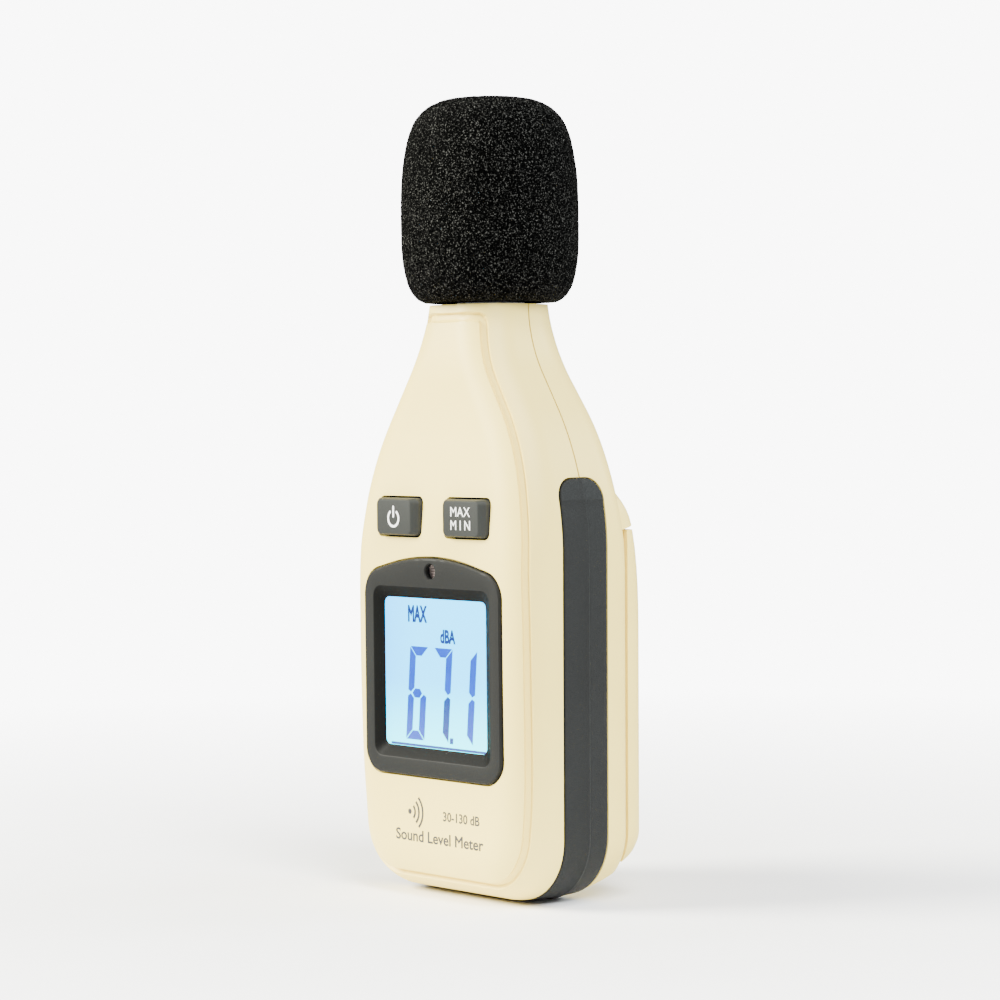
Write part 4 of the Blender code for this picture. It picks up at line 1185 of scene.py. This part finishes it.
def cells():
    for k, name in enumerate(("battery_1", "battery_2", "battery_3")):
        low, high = span(name)
        radius, length = (high.x - low.x) / 2, high.z - low.z - 1.0
        profile = [
            (0.0, 0.0), (radius - 0.6, 0.0), (radius - 0.45, 0.12), (radius - 0.15, 0.12), (radius, 0.35),
            (radius, length - 0.7), (radius - 0.2, length - 0.35), (radius - 0.6, length - 0.25),
            (radius - 0.75, length - 0.45), (2.1, length - 0.45), (1.9, length - 0.2), (1.9, length + 0.85),
            (1.75, length + 1.0), (0.0, length + 1.0),
        ]
        body = turned(profile, 72)
        if k == 1:
            moved(rotated(body, 180, "X"), (0, 0, length + 1.0))
        moved(body, ((low.x + high.x) / 2, (low.y + high.y) / 2, low.z))
        stand_in(name, body, JACKET)


front_case()
rear_case()
battery_lid()
grip()
bezel()
pane()
display()
light_sensor()
keys()
front_print()
windscreen()
microphone()
cells()


# ---- Floor, lights and camera ----------------------------------------------------------------------


def studio_floor():
    bm = bmesh.new()
    bmesh.ops.create_grid(bm, x_segments=2, y_segments=2, size=6.0)
    mesh = to_mesh("studio_floor", bm)
    material, tree, shader, coords = start_material("studio_floor")
    group = use_group(tree, GRAIN, coords)
    feed(shader, "Base Color", ramp_colour(tree, group.outputs["Tint"], (0.9, 0.9, 0.9), (0.92, 0.92, 0.92)))
    fix(shader, Roughness=0.9)
    reach = tree.nodes.new("ShaderNodeVectorMath")
    reach.operation = "LENGTH"
    feed(reach, 0, coords)
    feed(shader, "Alpha", ramp_value(tree, reach.outputs["Value"], 1.0, 0.0, 0.06, 0.4))
    mesh.materials.append(material)
    floor = new_object("studio_floor", mesh)
    floor.location.z = -0.0002


def soft_light(name, place_m, aim_m, size, power, colour=(1, 1, 1)):
    data = bpy.data.lights.new(name, "AREA")
    data.shape = "DISK"
    data.size = size
    data.energy = power
    data.color = colour
    obj = new_object(name, data)
    obj.location = place_m
    obj.rotation_euler = (Vector(aim_m) - Vector(place_m)).to_track_quat("-Z", "Y").to_euler()


def studio():
    studio_floor()
    world = bpy.data.worlds.new("studio")
    world.use_nodes = True
    tree = world.node_tree
    sky = fix(tree.nodes["Background"], Color=(1, 1, 1, 1))
    seen = tree.nodes.new("ShaderNodeLightPath").outputs["Is Camera Ray"]
    feed(sky, "Strength", ramp_value(tree, seen, 0.7, 9.0, 0.0, 1.0))
    bpy.context.scene.world = world
    middle = (0.0, 0.0, 0.075)
    soft_light("key_light", (-0.65, -0.8, 0.65), middle, 0.6, 75.0, (1.0, 0.985, 0.87))
    soft_light("side_light", (0.85, -0.25, 0.75), middle, 0.5, 21.0, (0.97, 0.99, 1.0))
    soft_light("shoulder_light", (0.5, -0.2, 1.1), middle, 0.4, 14.0)
    soft_light("rim_light", (0.5, 0.8, 0.5), middle, 0.4, 9.0, (0.9, 0.98, 1.0))


def camera():
    """A portrait view from front right, level with the display and turned a little about its axis."""
    spot = Vector((0.42885, -0.37898, 0.09135))
    aim = Vector((0.00068, 0.00121, 0.07368))
    roll = 0.0105
    ahead = (aim - spot).normalized()
    flat = ahead.cross(Vector((0, 0, 1))).normalized()
    rise = flat.cross(ahead)
    right = flat * math.cos(roll) - rise * math.sin(roll)
    up = flat * math.sin(roll) + rise * math.cos(roll)
    data = bpy.data.cameras.new("camera")
    data.lens = 109.8
    data.sensor_width = 36.0
    data.clip_start = 0.01
    matrix = Matrix((right, up, -ahead)).transposed().to_4x4()
    matrix.translation = spot
    obj = new_object("camera", data)
    obj.matrix_world = matrix
    bpy.context.scene.camera = obj


studio()
camera()
